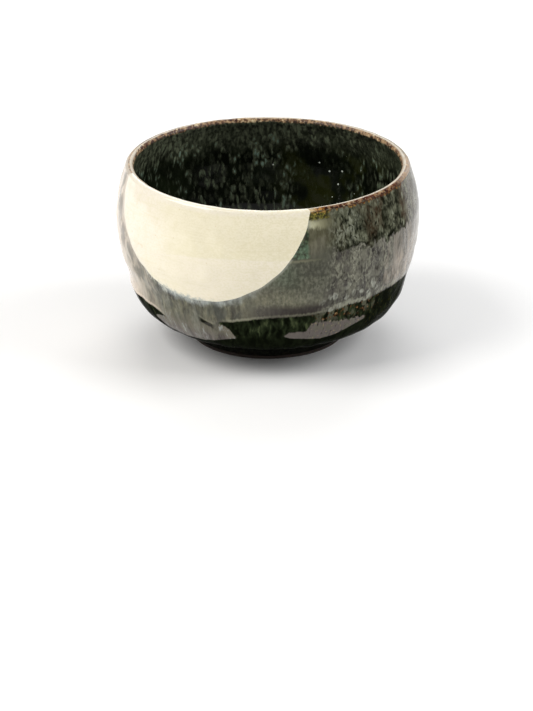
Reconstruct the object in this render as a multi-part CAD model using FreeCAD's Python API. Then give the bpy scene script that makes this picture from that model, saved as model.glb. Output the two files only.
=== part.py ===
import FreeCAD, Part
import math
import os

# Tea bowl of thrown stoneware with a turned foot, a green glaze and a cream disc dipped into the rim
# Millimetres and degrees, +Z up, origin at the centre of the circle that the foot stands on
# The front is -Y and azimuths turn from the front towards +X

# Driving dimensions of the finished, glazed bowl
HEIGHT = 74.6
BELLY_DIAMETER = 125.0
BELLY_HEIGHT = 51.5
SIDE_RADIUS = 58.0
HIP_HEIGHT = 28.8
WAIST_RADIUS = 40.0
UNDER_RADIUS = 21.0
FOOT_HEIGHT = 8.0

# Lip and inside
LIP_THICKNESS = 3.6
WALL_THICKENING = 1.4
FLOOR_HEIGHT = 13.5
FLOOR_CORNER_RADIUS = 24.0
WELL_DIAMETER = 38.0
WELL_DEPTH = 1.8
WELL_SLOPE = 3.4

# Turned foot of bare clay
FOOT_DIAMETER = 66.0
FOOT_WIDTH = 5.4
FOOT_DRAFT = 0.9
FOOT_BEVEL = 0.8

# Coats of glaze
GLAZE_THICKNESS = 0.6
LIP_BAND_DEPTH = 2.6
POOL_DIP = 0.8
FOOT_BARE_BAND = 1.6
FOOT_GLAZE_GATHER = 1.5

# The level of the glaze that the tilted rim was dipped into, as a plane
MOON_AZIMUTH = -29.0
MOON_TILT = 26.7
MOON_LOW_HEIGHT = 34.6

QUARTER_TURN = 90.0
HALF_TURN = 180.0
FULL_TURN = 360.0
MIDWAY_SHARE = 0.5


def point(radius, height):
    """A point of the half section, which lies in the XZ plane."""
    return FreeCAD.Vector(radius, 0, height)


def polar(centre, radius, angle):
    """The point at a distance and an angle from a centre, in the half section."""
    turn = math.radians(angle)
    return centre + point(radius * math.cos(turn), radius * math.sin(turn))


def angle_to(start, end):
    """The angle of the line from one point of the half section to another."""
    return math.degrees(math.atan2(end.z - start.z, end.x - start.x))


def line(start, end):
    """A straight edge."""
    return Part.LineSegment(start, end).toShape()


def path(*points):
    """Straight edges from each point to the next."""
    return [line(start, end) for start, end in zip(points, points[1:])]


def arc(centre, radius, first_angle, last_angle):
    """A circular edge about a centre, from one angle to another."""
    middle_angle = first_angle + (last_angle - first_angle) * MIDWAY_SHARE
    first = polar(centre, radius, first_angle)
    middle = polar(centre, radius, middle_angle)
    last = polar(centre, radius, last_angle)
    return Part.Arc(first, middle, last).toShape()


def start_point(edge):
    """The point where an edge begins, in the direction in which it was drawn."""
    return edge.valueAt(edge.FirstParameter)


def end_point(edge):
    """The point where an edge ends, in the direction in which it was drawn."""
    return edge.valueAt(edge.LastParameter)


def turned(edges):
    """The solid that a closed half section makes when it turns about the axis."""
    section = Part.Face(Part.Wire(Part.__sortEdges__(edges)))
    return section.revolve(point(0, 0), FreeCAD.Vector(0, 0, 1), FULL_TURN)


# Centres and angles of the wall's arcs, which every coat shares
foot_radius = FOOT_DIAMETER / 2
well_radius = WELL_DIAMETER / 2
lip_radius = LIP_THICKNESS / 2
clay_lip_radius = lip_radius - GLAZE_THICKNESS
clay_underside = FOOT_HEIGHT + GLAZE_THICKNESS

side_centre = point(BELLY_DIAMETER / 2 - SIDE_RADIUS, BELLY_HEIGHT)
lip_height = HEIGHT - lip_radius
lip_angle = math.degrees(math.asin((lip_height - BELLY_HEIGHT) / (SIDE_RADIUS - lip_radius)))
lip_centre = polar(side_centre, SIDE_RADIUS - lip_radius, lip_angle)

hip_angle = math.degrees(math.asin((HIP_HEIGHT - BELLY_HEIGHT) / SIDE_RADIUS))
hip = polar(side_centre, SIDE_RADIUS, hip_angle)
under_height = FOOT_HEIGHT + UNDER_RADIUS
under_reach = math.sqrt(UNDER_RADIUS ** 2 - (HIP_HEIGHT - under_height) ** 2)
under_centre = point(hip.x - under_reach, under_height)

inner_radius = SIDE_RADIUS - LIP_THICKNESS - WALL_THICKENING
inner_centre = polar(side_centre, WALL_THICKENING, lip_angle)
corner_height = FLOOR_HEIGHT + FLOOR_CORNER_RADIUS
corner_swing = inner_radius - FLOOR_CORNER_RADIUS
corner_angle = math.degrees(math.asin((corner_height - inner_centre.z) / corner_swing))
corner_centre = polar(inner_centre, corner_swing, corner_angle)

lip_band_angle = lip_angle - math.degrees(LIP_BAND_DEPTH / inner_radius)


def waist_centre():
    """Centre of the hollow arc that touches both the side and the under curve from outside."""
    side_reach = SIDE_RADIUS + WAIST_RADIUS
    under_swing = UNDER_RADIUS + WAIST_RADIUS
    gap = side_centre.distanceToPoint(under_centre)
    spread = (side_reach ** 2 + gap ** 2 - under_swing ** 2) / (2 * side_reach * gap)
    towards_under = angle_to(side_centre, under_centre)
    return polar(side_centre, side_reach, towards_under + math.degrees(math.acos(spread)))


def outer_line(depth):
    """Edges from the foot out under the bowl and up to the lip, at a depth below the glaze."""
    waist = waist_centre()
    waist_under = angle_to(under_centre, waist)
    waist_side = angle_to(side_centre, waist)
    bottom = under_height - UNDER_RADIUS + depth
    return [
        line(point(foot_radius, bottom), point(under_centre.x, bottom)),
        arc(under_centre, UNDER_RADIUS - depth, -QUARTER_TURN, waist_under),
        arc(waist, WAIST_RADIUS + depth, waist_under + HALF_TURN, waist_side + HALF_TURN),
        arc(side_centre, SIDE_RADIUS - depth, waist_side, lip_angle),
    ]


def inner_line(depth):
    """Edges from the lip band down the inside and over the floor to the tea well."""
    floor = FLOOR_HEIGHT - depth
    return [
        arc(inner_centre, inner_radius + depth, lip_band_angle, corner_angle),
        arc(corner_centre, FLOOR_CORNER_RADIUS + depth, corner_angle, -QUARTER_TURN),
        line(point(corner_centre.x, floor), point(well_radius, floor)),
    ]


def lip_band(depth):
    """The edge of the band of lip glaze that runs down the inside."""
    return arc(inner_centre, inner_radius + depth, lip_angle, lip_band_angle)


def clay_lip_point(angle):
    """A corner of the bevelled clay lip, at an angle from square across the wall."""
    return polar(lip_centre, clay_lip_radius, angle)


def clay_lip_crest():
    """The outer bevel of the clay lip, from the side up to the highest point."""
    return path(clay_lip_point(lip_angle), clay_lip_point(QUARTER_TURN))


def clay_lip_inside():
    """The inner bevels of the clay lip, from the highest point over to the inside."""
    inner_end = lip_angle + HALF_TURN
    shoulder = QUARTER_TURN + (inner_end - QUARTER_TURN) * MIDWAY_SHARE
    return path(clay_lip_point(QUARTER_TURN), clay_lip_point(shoulder), clay_lip_point(inner_end))


def round_lip_crest():
    """The outer part of the glazed lip, rounded up to its highest point."""
    return [arc(lip_centre, lip_radius, lip_angle, QUARTER_TURN)]


def round_lip_inside():
    """The inner part of the glazed lip, rounded from its highest point over to the inside."""
    return [arc(lip_centre, lip_radius, QUARTER_TURN, lip_angle + HALF_TURN)]


def coat(outside, inside):
    """The layer of glaze between a finished surface and the clay along the same stretch."""
    near_end = line(start_point(outside[0]), start_point(inside[0]))
    far_end = line(end_point(outside[-1]), end_point(inside[-1]))
    return turned(outside + inside + [near_end, far_end])


def well_line(edge_height, bottom_height):
    """Edges from the rim of the tea well down its slope and in to the axis."""
    rim = point(well_radius, edge_height)
    slope = WELL_SLOPE * (edge_height - bottom_height) / WELL_DEPTH
    foot = point(well_radius - slope, bottom_height)
    return path(rim, foot, point(0, bottom_height))


def clay_body():
    """The thrown wall and floor, up to the clay's own surface under every coat."""
    depth = GLAZE_THICKNESS
    floor = FLOOR_HEIGHT - depth
    wall = outer_line(depth) + clay_lip_crest() + clay_lip_inside() + [lip_band(depth)]
    inside = inner_line(depth) + well_line(floor, floor - WELL_DEPTH)
    bottom = path(point(0, floor - WELL_DEPTH), point(0, clay_underside), point(foot_radius, clay_underside))
    return turned(wall + inside + bottom)


def foot_ring():
    """The turned ring, with bevelled edges and an inner wall that leans in as it rises."""
    outer = foot_radius
    inner = foot_radius - FOOT_WIDTH
    corners = [
        point(outer - FOOT_BEVEL, 0),
        point(inner + FOOT_BEVEL, 0),
        point(inner, FOOT_BEVEL),
        point(inner - FOOT_DRAFT, clay_underside),
        point(outer, clay_underside),
        point(outer, FOOT_BEVEL),
    ]
    return turned(path(*corners, corners[0]))


def foot_glaze():
    """Glaze on the outer wall of the foot, gathered under the bowl and thinned out at its end."""
    inside = foot_radius
    outside = foot_radius + GLAZE_THICKNESS
    corners = [
        point(inside, FOOT_BARE_BAND),
        point(outside, FOOT_BARE_BAND + GLAZE_THICKNESS),
        point(outside, FOOT_HEIGHT - FOOT_GLAZE_GATHER),
        point(outside + FOOT_GLAZE_GATHER, FOOT_HEIGHT),
        point(inside, FOOT_HEIGHT),
    ]
    return turned(path(*corners, corners[0]))


def tea_pool_glaze():
    """The glaze that ran down into the tea well and set level there."""
    clay = FLOOR_HEIGHT - GLAZE_THICKNESS
    top = FLOOR_HEIGHT - POOL_DIP
    surface = well_line(FLOOR_HEIGHT, top)
    bed = well_line(clay, clay - WELL_DEPTH)
    rim = line(point(well_radius, FLOOR_HEIGHT), point(well_radius, clay))
    return turned(surface + bed + [rim, line(point(0, top), point(0, clay - WELL_DEPTH))])


def dip_normal():
    """The direction that points square out of the glaze level, away from the bowl's foot."""
    azimuth = math.radians(MOON_AZIMUTH)
    tilt = math.radians(MOON_TILT)
    level = math.cos(tilt)
    return FreeCAD.Vector(level * math.sin(azimuth), -level * math.cos(azimuth), math.sin(tilt))


def dip_point():
    """The lowest point of the cream disc, on the glazed side."""
    angle = math.degrees(math.asin((MOON_LOW_HEIGHT - BELLY_HEIGHT) / SIDE_RADIUS))
    radius = polar(side_centre, SIDE_RADIUS, angle).x
    azimuth = math.radians(MOON_AZIMUTH)
    return FreeCAD.Vector(radius * math.sin(azimuth), -radius * math.cos(azimuth), MOON_LOW_HEIGHT)


def dipped_side():
    """Everything on the far side of the level that the rim was dipped to."""
    reach = BELLY_DIAMETER + HEIGHT
    block = Part.makeBox(2 * reach, 2 * reach, reach, FreeCAD.Vector(-reach, -reach, 0))
    turn = FreeCAD.Rotation(FreeCAD.Vector(0, 0, 1), dip_normal())
    block.Placement = FreeCAD.Placement(dip_point(), turn)
    return block


def moon_glaze():
    """The cream disc: the outer coat and the outer part of the lip, where they were dipped."""
    outside = outer_line(0) + round_lip_crest()
    inside = outer_line(GLAZE_THICKNESS) + clay_lip_crest()
    return coat(outside, inside).common(dipped_side())


def outer_green_glaze(moon):
    """The green coat of the outside, with the dipped disc cut out of it edge to edge."""
    return coat(outer_line(0), outer_line(GLAZE_THICKNESS)).cut(moon)


def lip_glaze(moon):
    """The glaze over the lip and the band below it inside, less what the dipped disc covers."""
    outside = round_lip_crest() + round_lip_inside() + [lip_band(0)]
    inside = clay_lip_crest() + clay_lip_inside() + [lip_band(GLAZE_THICKNESS)]
    return coat(outside, inside).cut(moon)


def inner_green_glaze():
    """The dark coat of the inside, from the lip band down to the tea well."""
    return coat(inner_line(0), inner_line(GLAZE_THICKNESS))


def only_solid(shape):
    """The single solid of a result, which each of these pieces has to be."""
    if len(shape.Solids) != 1:
        raise ValueError("a piece of the bowl came out as %d solids" % len(shape.Solids))
    return shape.Solids[0]


def pieces():
    """Every piece of the bowl, by name."""
    moon = only_solid(moon_glaze())
    return {
        "clay_body": clay_body(),
        "foot_ring": foot_ring(),
        "foot_glaze": foot_glaze(),
        "outer_green_glaze": outer_green_glaze(moon),
        "moon_glaze": moon,
        "lip_glaze": lip_glaze(moon),
        "inner_green_glaze": inner_green_glaze(),
        "tea_pool_glaze": tea_pool_glaze(),
    }


os.makedirs("parts", exist_ok=True)
for name, shape in pieces().items():
    solid = only_solid(shape)
    solid.exportStep("parts/%s.step" % name)
    print(name, "volume", round(solid.Volume, 1), "valid", solid.isValid())
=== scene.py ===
import logging
import math
from dataclasses import dataclass
from enum import Enum
from typing import Any, Callable, Optional, Sequence, Union

import bmesh
import bpy
import numpy as np
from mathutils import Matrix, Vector


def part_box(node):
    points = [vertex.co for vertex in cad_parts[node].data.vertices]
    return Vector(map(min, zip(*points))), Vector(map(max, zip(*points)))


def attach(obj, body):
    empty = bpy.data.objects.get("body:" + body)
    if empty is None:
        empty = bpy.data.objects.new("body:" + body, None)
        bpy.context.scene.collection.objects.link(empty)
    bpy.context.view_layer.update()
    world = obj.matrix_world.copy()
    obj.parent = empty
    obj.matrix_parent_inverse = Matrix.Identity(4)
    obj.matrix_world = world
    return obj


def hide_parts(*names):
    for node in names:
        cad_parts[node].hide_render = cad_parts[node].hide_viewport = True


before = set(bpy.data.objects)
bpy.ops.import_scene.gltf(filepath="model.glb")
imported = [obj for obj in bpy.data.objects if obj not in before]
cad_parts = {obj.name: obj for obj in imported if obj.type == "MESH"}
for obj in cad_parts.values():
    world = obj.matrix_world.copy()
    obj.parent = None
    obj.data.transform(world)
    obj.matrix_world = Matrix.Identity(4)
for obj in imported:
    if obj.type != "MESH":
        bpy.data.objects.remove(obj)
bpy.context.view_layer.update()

# Tea bowl of thrown stoneware: a turned foot, a dark streaked green glaze and a dipped cream disc
# Metres and radians unless a name says otherwise; the front is -Y, azimuths turn from it towards +X

LOG = logging.getLogger("tea_bowl")
MM = 0.001
TURN = 2.0 * math.pi
QUARTER = math.pi / 2.0
SHARP_EDGE = math.radians(35.0)
# How near two points of a profile join, how near the axis or a plane counts as on it, and no radius
JOINED = 1e-6
TOUCH = 1e-7
TINY = 1e-9

Profile = np.ndarray
Relief = Callable[[np.ndarray, np.ndarray, np.ndarray], np.ndarray]
Mesh = bmesh.types.BMesh
Socket = bpy.types.NodeSocket
Number = Union[float, "Value"]
Colour = Union[str, "Coat"]


class Side(Enum):
    """Which way a surface of the wall faces, as the sign of its arc's outward direction."""

    OUT = 1.0
    IN = -1.0


class Cut(Enum):
    """Which side of the dip level a piece keeps."""

    DIPPED = "dipped"
    UNDIPPED = "undipped"


# Geometry of the half section


def sweep_arc(centre: Sequence[float], radius: float, first: float, last: float, side: Side,
              step: float) -> Profile:
    """Samples a circular stretch of the half section with its surface normals.

    Args:
        centre: Distance from the axis and height of the arc's centre.
        radius: The arc's radius.
        first: Angle where the arc begins, from the level outward direction.
        last: Angle where it ends.
        side: Whether the surface faces away from the centre or towards it.
        step: Wanted distance between two samples.

    Returns:
        Rows of radius, height, normal radius and normal height.
    """
    count = max(2, int(abs(last - first) * radius / step) + 1)
    angles = np.linspace(first, last, count)
    level, rise = np.cos(angles), np.sin(angles)
    return np.stack([centre[0] + radius * level, centre[1] + radius * rise,
                     side.value * level, side.value * rise], axis=1)


def sweep_line(start: Sequence[float], end: Sequence[float], step: float) -> Profile:
    """Samples a straight stretch of the half section, with normals on its left-hand side.

    Args:
        start: Radius and height of the first point.
        end: Radius and height of the last point.
        step: Wanted distance between two samples.

    Returns:
        Rows of radius, height, normal radius and normal height.
    """
    start, end = np.array(start, float), np.array(end, float)
    length = float(np.hypot(*(end - start)))
    count = max(2, int(length / step) + 1)
    shares = np.linspace(0.0, 1.0, count)[:, None]
    points = start + (end - start) * shares
    along = (end - start) / length
    normals = np.tile([along[1], -along[0]], (count, 1))
    return np.hstack([points, normals])


def sweep_corners(corners: Sequence[tuple[float, float]], step: float) -> Profile:
    """Samples a closed row of straight stretches.

    Args:
        corners: Radius and height of each corner, with the first one again at the end.
        step: Wanted distance between two samples.

    Returns:
        Rows of radius, height, normal radius and normal height.
    """
    return np.concatenate([sweep_line(start, end, step)[:-1]
                           for start, end in zip(corners, corners[1:])])


def join(*stretches: Profile) -> Profile:
    """Joins stretches end to end and leaves out the points that two of them share.

    Args:
        stretches: Rows of radius, height and normal, each starting where the last one ends.

    Returns:
        One profile.
    """
    kept = [stretches[0]]
    for stretch in stretches[1:]:
        shared = np.allclose(kept[-1][-1, :2], stretch[0, :2], atol=JOINED)
        kept.append(stretch[1:] if shared else stretch)
    return np.concatenate(kept)


@dataclass(frozen=True)
class BowlForm:
    """The glazed bowl's half section and its place in the frame, in metres."""

    belly_radius: float
    height: float
    foot_radius: float
    well_radius: float
    lip_band_end: float
    belly_height: float = 51.5 * MM
    side_radius: float = 58.0 * MM
    hip_height: float = 28.8 * MM
    waist_radius: float = 40.0 * MM
    under_radius: float = 21.0 * MM
    foot_height: float = 8.0 * MM
    lip_thickness: float = 3.6 * MM
    wall_thickening: float = 1.4 * MM
    floor_height: float = 13.5 * MM
    corner_radius: float = 24.0 * MM
    glaze: float = 0.6 * MM
    step: float = 0.5 * MM

    @classmethod
    def from_frame(cls) -> "BowlForm":
        """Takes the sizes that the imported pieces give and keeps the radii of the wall.

        Returns:
            The section.
        """
        low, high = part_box("outer_green_glaze")
        lip_low, lip_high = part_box("lip_glaze")
        ring_low, ring_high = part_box("foot_ring")
        pool_low, pool_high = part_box("tea_pool_glaze")
        return cls(belly_radius=(high.x - low.x) / 2.0, height=lip_high.z,
                   foot_radius=(ring_high.x - ring_low.x) / 2.0,
                   well_radius=(pool_high.x - pool_low.x) / 2.0, lip_band_end=lip_low.z)

    @property
    def lip_radius(self) -> float:
        """Radius of the round lip."""
        return self.lip_thickness / 2.0

    @property
    def side_centre(self) -> np.ndarray:
        """Centre of the long arc of the side."""
        return np.array([self.belly_radius - self.side_radius, self.belly_height])

    @property
    def lip_angle(self) -> float:
        """Angle on the side's arc where the round lip begins."""
        rise = self.height - self.lip_radius - self.belly_height
        return math.asin(rise / (self.side_radius - self.lip_radius))

    @property
    def lip_centre(self) -> np.ndarray:
        """Centre of the round lip."""
        return self.side_centre + (self.side_radius - self.lip_radius) * polar(self.lip_angle)

    @property
    def under_centre(self) -> np.ndarray:
        """Centre of the arc that turns in under the bowl.

        Returns:
            Its radius and height.
        """
        hip_angle = math.asin((self.hip_height - self.belly_height) / self.side_radius)
        hip = self.side_centre + self.side_radius * polar(hip_angle)
        height = self.foot_height + self.under_radius
        reach = math.sqrt(self.under_radius ** 2 - (self.hip_height - height) ** 2)
        return np.array([hip[0] - reach, height])

    @property
    def waist_centre(self) -> np.ndarray:
        """Centre of the hollow arc between the side and the under curve.

        Returns:
            Its radius and height.
        """
        side_reach = self.side_radius + self.waist_radius
        under_swing = self.under_radius + self.waist_radius
        across = self.under_centre - self.side_centre
        gap = float(np.hypot(*across))
        spread = (side_reach ** 2 + gap ** 2 - under_swing ** 2) / (2.0 * side_reach * gap)
        angle = math.atan2(across[1], across[0]) + math.acos(spread)
        return self.side_centre + side_reach * polar(angle)

    @property
    def inner_radius(self) -> float:
        """Radius of the inner wall's arc."""
        return self.side_radius - self.lip_thickness - self.wall_thickening

    @property
    def inner_centre(self) -> np.ndarray:
        """Centre of the inner wall's arc."""
        return self.side_centre + self.wall_thickening * polar(self.lip_angle)

    @property
    def band_angle(self) -> float:
        """Angle on the inner arc where the lip's band ends."""
        return math.asin((self.lip_band_end - self.inner_centre[1]) / self.inner_radius)

    @property
    def corner(self) -> tuple[np.ndarray, float]:
        """Centre of the arc between inner wall and floor, and the angle where it meets the wall.

        Returns:
            Radius and height of the centre, and the angle.
        """
        swing = self.inner_radius - self.corner_radius
        angle = math.asin((self.floor_height + self.corner_radius - self.inner_centre[1]) / swing)
        return self.inner_centre + swing * polar(angle), angle

    def outside(self, depth: float) -> Profile:
        """The outer surface from the foot to the lip, at a depth below the glaze.

        Args:
            depth: How far below the surface of the glaze.

        Returns:
            The profile.
        """
        under, waist, side = self.under_centre, self.waist_centre, self.side_centre
        waist_under = math.atan2(*(waist - under)[::-1])
        waist_side = math.atan2(*(waist - side)[::-1])
        bottom = self.foot_height + depth
        return join(
            sweep_line((self.foot_radius, bottom), (under[0], bottom), self.step),
            sweep_arc(under, self.under_radius - depth, -QUARTER, waist_under, Side.OUT,
                      self.step),
            sweep_arc(waist, self.waist_radius + depth, waist_under + math.pi,
                      waist_side + math.pi, Side.IN, self.step),
            sweep_arc(side, self.side_radius - depth, waist_side, self.lip_angle, Side.OUT,
                      self.step))

    def crest(self, depth: float) -> Profile:
        """The outer part of the round lip, up to its highest point."""
        return sweep_arc(self.lip_centre, self.lip_radius - depth, self.lip_angle, QUARTER,
                         Side.OUT, self.step / 2.0)

    def lip_inside(self, depth: float) -> Profile:
        """The inner part of the round lip and the band below it.

        Args:
            depth: How far below the surface of the glaze.

        Returns:
            The profile.
        """
        over = sweep_arc(self.lip_centre, self.lip_radius - depth, QUARTER,
                         self.lip_angle + math.pi, Side.OUT, self.step / 2.0)
        band = sweep_arc(self.inner_centre, self.inner_radius + depth, self.lip_angle,
                         self.band_angle, Side.IN, self.step / 2.0)
        return join(over, band)

    def inside(self, depth: float) -> Profile:
        """The inner surface from the lip's band down over the floor to the tea well.

        Args:
            depth: How far below the surface of the glaze.

        Returns:
            The profile.
        """
        centre, angle = self.corner
        floor = self.floor_height - depth
        return join(
            sweep_arc(self.inner_centre, self.inner_radius + depth, self.band_angle, angle, Side.IN,
                      self.step),
            sweep_arc(centre, self.corner_radius + depth, angle, -QUARTER, Side.IN, self.step),
            sweep_line((centre[0], floor), (self.well_radius, floor), self.step))


def polar(angle: float) -> np.ndarray:
    """Unit direction at an angle from the level outward direction."""
    return np.array([math.cos(angle), math.sin(angle)])


@dataclass(frozen=True)
class DipLevel:
    """The plane of the cream glaze that the tilted rim was dipped into."""

    azimuth: float = math.radians(-29.0)
    tilt: float = math.radians(26.7)
    low_height: float = 34.6 * MM

    @property
    def normal(self) -> np.ndarray:
        """Direction square out of the level, away from the foot.

        Returns:
            The direction, of length one.
        """
        level = math.cos(self.tilt)
        return np.array([level * math.sin(self.azimuth), -level * math.cos(self.azimuth),
                         math.sin(self.tilt)])

    def distance(self, form: BowlForm) -> float:
        """Distance of the level from the middle of the foot.

        Args:
            form: The bowl's section.

        Returns:
            The distance in metres.
        """
        centre = form.side_centre
        angle = math.asin((self.low_height - form.belly_height) / form.side_radius)
        radius = centre[0] + form.side_radius * math.cos(angle)
        low = np.array([radius * math.sin(self.azimuth), -radius * math.cos(self.azimuth),
                        self.low_height])
        return float(low @ self.normal)


# Lines round the bowl: degrees from the front, and millimetres above the foot

HEM = ((-180.0, 30.5), (-120.0, 28.5), (-95.0, 25.5), (-75.0, 23.7), (-64.0, 24.9), (-55.0, 24.4),
       (-50.8, 23.7), (-48.4, 22.9), (-46.4, 22.0), (-45.8, 15.2), (-43.0, 14.6), (-37.0, 14.1),
       (-29.0, 14.5), (-25.0, 15.4), (-21.3, 16.4), (-20.3, 25.2), (-18.3, 26.2), (-12.6, 26.9),
       (-5.0, 28.6), (1.6, 29.4), (8.6, 29.5), (21.5, 29.8), (27.0, 30.7), (31.4, 31.1),
       (44.0, 31.7), (58.0, 32.7), (80.0, 32.0), (120.0, 31.0), (180.0, 30.5))
# Edges of the two pale tongues over the dark band, which are painted reflections
TONGUE_LOW = ((-55.0, 19.2), (-52.8, 17.8), (-50.0, 15.6), (-46.0, 14.9), (-30.0, 14.6),
              (-21.0, 16.3), (-14.2, 18.3), (6.5, 20.0), (9.0, 18.9), (13.5, 18.1), (22.7, 16.8),
              (29.5, 17.8), (36.0, 20.3), (44.0, 22.4))
TONGUE_TOP = ((-55.0, 19.4), (-53.0, 20.4), (-49.0, 21.4), (-46.0, 22.0), (-21.0, 25.2),
              (-17.6, 24.2), (-15.4, 22.8), (-13.4, 19.2), (6.5, 20.4), (8.6, 21.8), (15.6, 21.9),
              (17.0, 24.8), (19.3, 26.0), (25.4, 25.2), (35.0, 24.2), (44.0, 23.2))
DISC_RING = ((-62.0, 46.6), (-45.0, 50.6), (-34.0, 53.2), (-14.0, 54.7), (15.0, 54.6))

# How much of the inner wall its drops cover, by degrees from the front
INNER_DROPS = ((-180.0, 0.95), (-166.0, 1.0), (-152.0, 0.60), (-140.0, 0.20), (-112.0, 0.16),
               (-60.0, 0.6), (60.0, 0.6), (108.0, 0.55), (126.0, 0.65), (138.0, 0.35),
               (146.0, 0.05), (166.0, 0.05), (173.0, 0.55), (180.0, 0.95))


# The hand of the potter, in the meshes


@dataclass(frozen=True)
class Ripple:
    """One wave round the bowl and up its wall."""

    round_count: int
    rise_length: float
    height: float
    phase: float

    def at(self, azimuth: np.ndarray, height: np.ndarray) -> np.ndarray:
        """Height of the wave at points of the wall."""
        return self.height * np.cos(self.round_count * azimuth + TURN * height / self.rise_length
                                    + self.phase)


@dataclass(frozen=True)
class ThrownRelief:
    """Throwing rings, slow unevenness, the hem of the veil and the step at the disc's edge."""

    form: BowlForm
    dip: DipLevel
    seed: int = 7
    ring_height: float = 0.055 * MM
    ring_length: float = 7.4 * MM
    ring_swell: float = 0.4
    ring_swell_length: float = 3.7
    ring_swell_phase: float = 1.3
    ring_wander: float = 0.5
    lump_height: float = 0.030 * MM
    lump_count: int = 26
    lump_rounds: tuple[int, int] = (5, 46)
    lump_rises: tuple[float, float] = (9.0, 34.0)
    outer_lumps: float = 4.0
    inner_lumps: float = 3.0
    inner_rings: float = 2.2
    inner_spacing: float = 0.83
    hem_height: float = 0.11 * MM
    hem_width: float = 0.9 * MM
    disc_step: float = 0.09 * MM
    disc_run: float = 0.8 * MM
    allowance: float = 0.16 * MM

    def lumps(self, height_scale: float) -> list[Ripple]:
        """A fixed set of small waves in every direction.

        Args:
            height_scale: Height that the waves are drawn around.

        Returns:
            The waves.
        """
        source = np.random.default_rng(self.seed)
        return [Ripple(int(source.integers(*self.lump_rounds)),
                       float(source.choice([-1.0, 1.0]) * source.uniform(*self.lump_rises) * MM),
                       height_scale * float(source.uniform(0.3, 1.0)) / math.sqrt(self.lump_count),
                       float(source.uniform(0.0, TURN)))
                for _ in range(self.lump_count)]

    def rings(self, azimuth: np.ndarray, height: np.ndarray) -> np.ndarray:
        """The shallow spiral that the fingers leave as the wall is thrown.

        Args:
            azimuth: Angles round the bowl.
            height: Heights above the foot.

        Returns:
            Height of the spiral in metres.
        """
        spiral = TURN * height / self.ring_length + azimuth
        slow = TURN * height / (self.ring_length * self.ring_swell_length) + self.ring_swell_phase
        swell = 1.0 - self.ring_swell + self.ring_swell * np.cos(slow)
        return self.ring_height * swell * np.cos(spiral + self.ring_wander * np.cos(2.0 * azimuth))

    def outside(self, azimuth: np.ndarray, radius: np.ndarray, height: np.ndarray) -> np.ndarray:
        """Relief of the outer glaze, outward, at points of the wall.

        Args:
            azimuth: Angles round the bowl.
            radius: Distances from the axis.
            height: Heights above the foot.

        Returns:
            Height of the relief in metres.
        """
        relief = self.rings(azimuth, height)
        for ripple in self.lumps(self.lump_height * self.outer_lumps):
            relief = relief + ripple.at(azimuth, height)
        turned = np.degrees(np.arctan2(np.sin(azimuth), np.cos(azimuth)))
        hem = np.interp(turned, *zip(*HEM)) * MM
        relief = relief + self.hem_height * np.exp(-((height - hem) / self.hem_width) ** 2)
        over = (radius * np.sin(azimuth) * self.dip.normal[0]
                - radius * np.cos(azimuth) * self.dip.normal[1]
                + height * self.dip.normal[2] - self.dip.distance(self.form))
        relief = relief + self.disc_step / (1.0 + np.exp(-over / (self.disc_run / 4.0)))
        lip_start = self.form.height - self.form.lip_thickness / 2.0
        return (relief - self.allowance) * np.where(height > lip_start, 0.5, 1.0)

    def inside(self, azimuth: np.ndarray, radius: np.ndarray, height: np.ndarray) -> np.ndarray:
        """Relief of the inner glaze, towards the axis.

        Args:
            azimuth: Angles round the bowl.
            radius: Distances from the axis; not used.
            height: Heights above the foot.

        Returns:
            Height of the relief in metres.
        """
        relief = self.inner_rings * self.rings(-azimuth, height * self.inner_spacing)
        for ripple in self.lumps(self.lump_height * self.inner_lumps):
            relief = relief + ripple.at(azimuth + 1.0, height)
        return relief


@dataclass(frozen=True)
class Hand:
    """The small lean of the wall and the dips of the rim, which every coat of the bowl shares."""

    hip_lean: float = 0.3 * MM
    hip_height: float = 32.0 * MM
    hip_spread: float = 5.0 * MM
    under_lean: float = 0.1 * MM
    under_height: float = 13.5 * MM
    under_spread: float = 3.5 * MM
    groove: float = -0.12 * MM
    groove_height: float = 40.8 * MM
    swell: float = 0.10 * MM
    swell_height: float = 36.0 * MM
    ring_spread: float = 2.2 * MM
    front_dip: float = 0.82 * MM
    front_spread: float = math.radians(46.0)
    back_dip: float = 0.2 * MM
    back_spread: float = math.radians(26.0)
    dip_azimuth: float = math.radians(3.0)
    rim_drop: float = 0.06 * MM
    rim_height: float = 74.0 * MM
    wall_start: float = 40.0 * MM

    def shift(self, points: np.ndarray) -> np.ndarray:
        """Moves points of the bowl by the lean and the rings of the wall and the dips of the rim.

        Args:
            points: Rows of x, y and z.

        Returns:
            The moved points.
        """
        moved = points.copy()
        height = points[:, 2]
        azimuth = np.arctan2(points[:, 0], -points[:, 1])
        radius = np.maximum(np.hypot(points[:, 0], points[:, 1]), TINY)
        hip = self.bell(height - self.hip_height, self.hip_spread)
        under = self.bell(height - self.under_height, self.under_spread)
        moved[:, 0] += self.hip_lean * hip + self.under_lean * under
        ring = (self.groove * self.bell(height - self.groove_height, self.ring_spread)
                + self.swell * self.bell(height - self.swell_height, self.ring_spread))
        moved[:, :2] *= (1.0 + ring / radius * (radius > self.wall_start))[:, None]
        wall_height = self.rim_height - self.hip_height
        rise = np.clip((height - self.hip_height) / wall_height, 0.0, 1.0) ** 2
        dip = (self.front_dip * self.bell(azimuth + self.dip_azimuth, self.front_spread)
               + self.back_dip * self.bell(math.pi - np.abs(azimuth), self.back_spread))
        moved[:, 2] -= rise * (dip + self.rim_drop)
        return moved

    @staticmethod
    def bell(offset: np.ndarray, spread: float) -> np.ndarray:
        """One in the middle, falling off smoothly on both sides."""
        return np.exp(-(offset / spread) ** 2)


# Meshes


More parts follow.
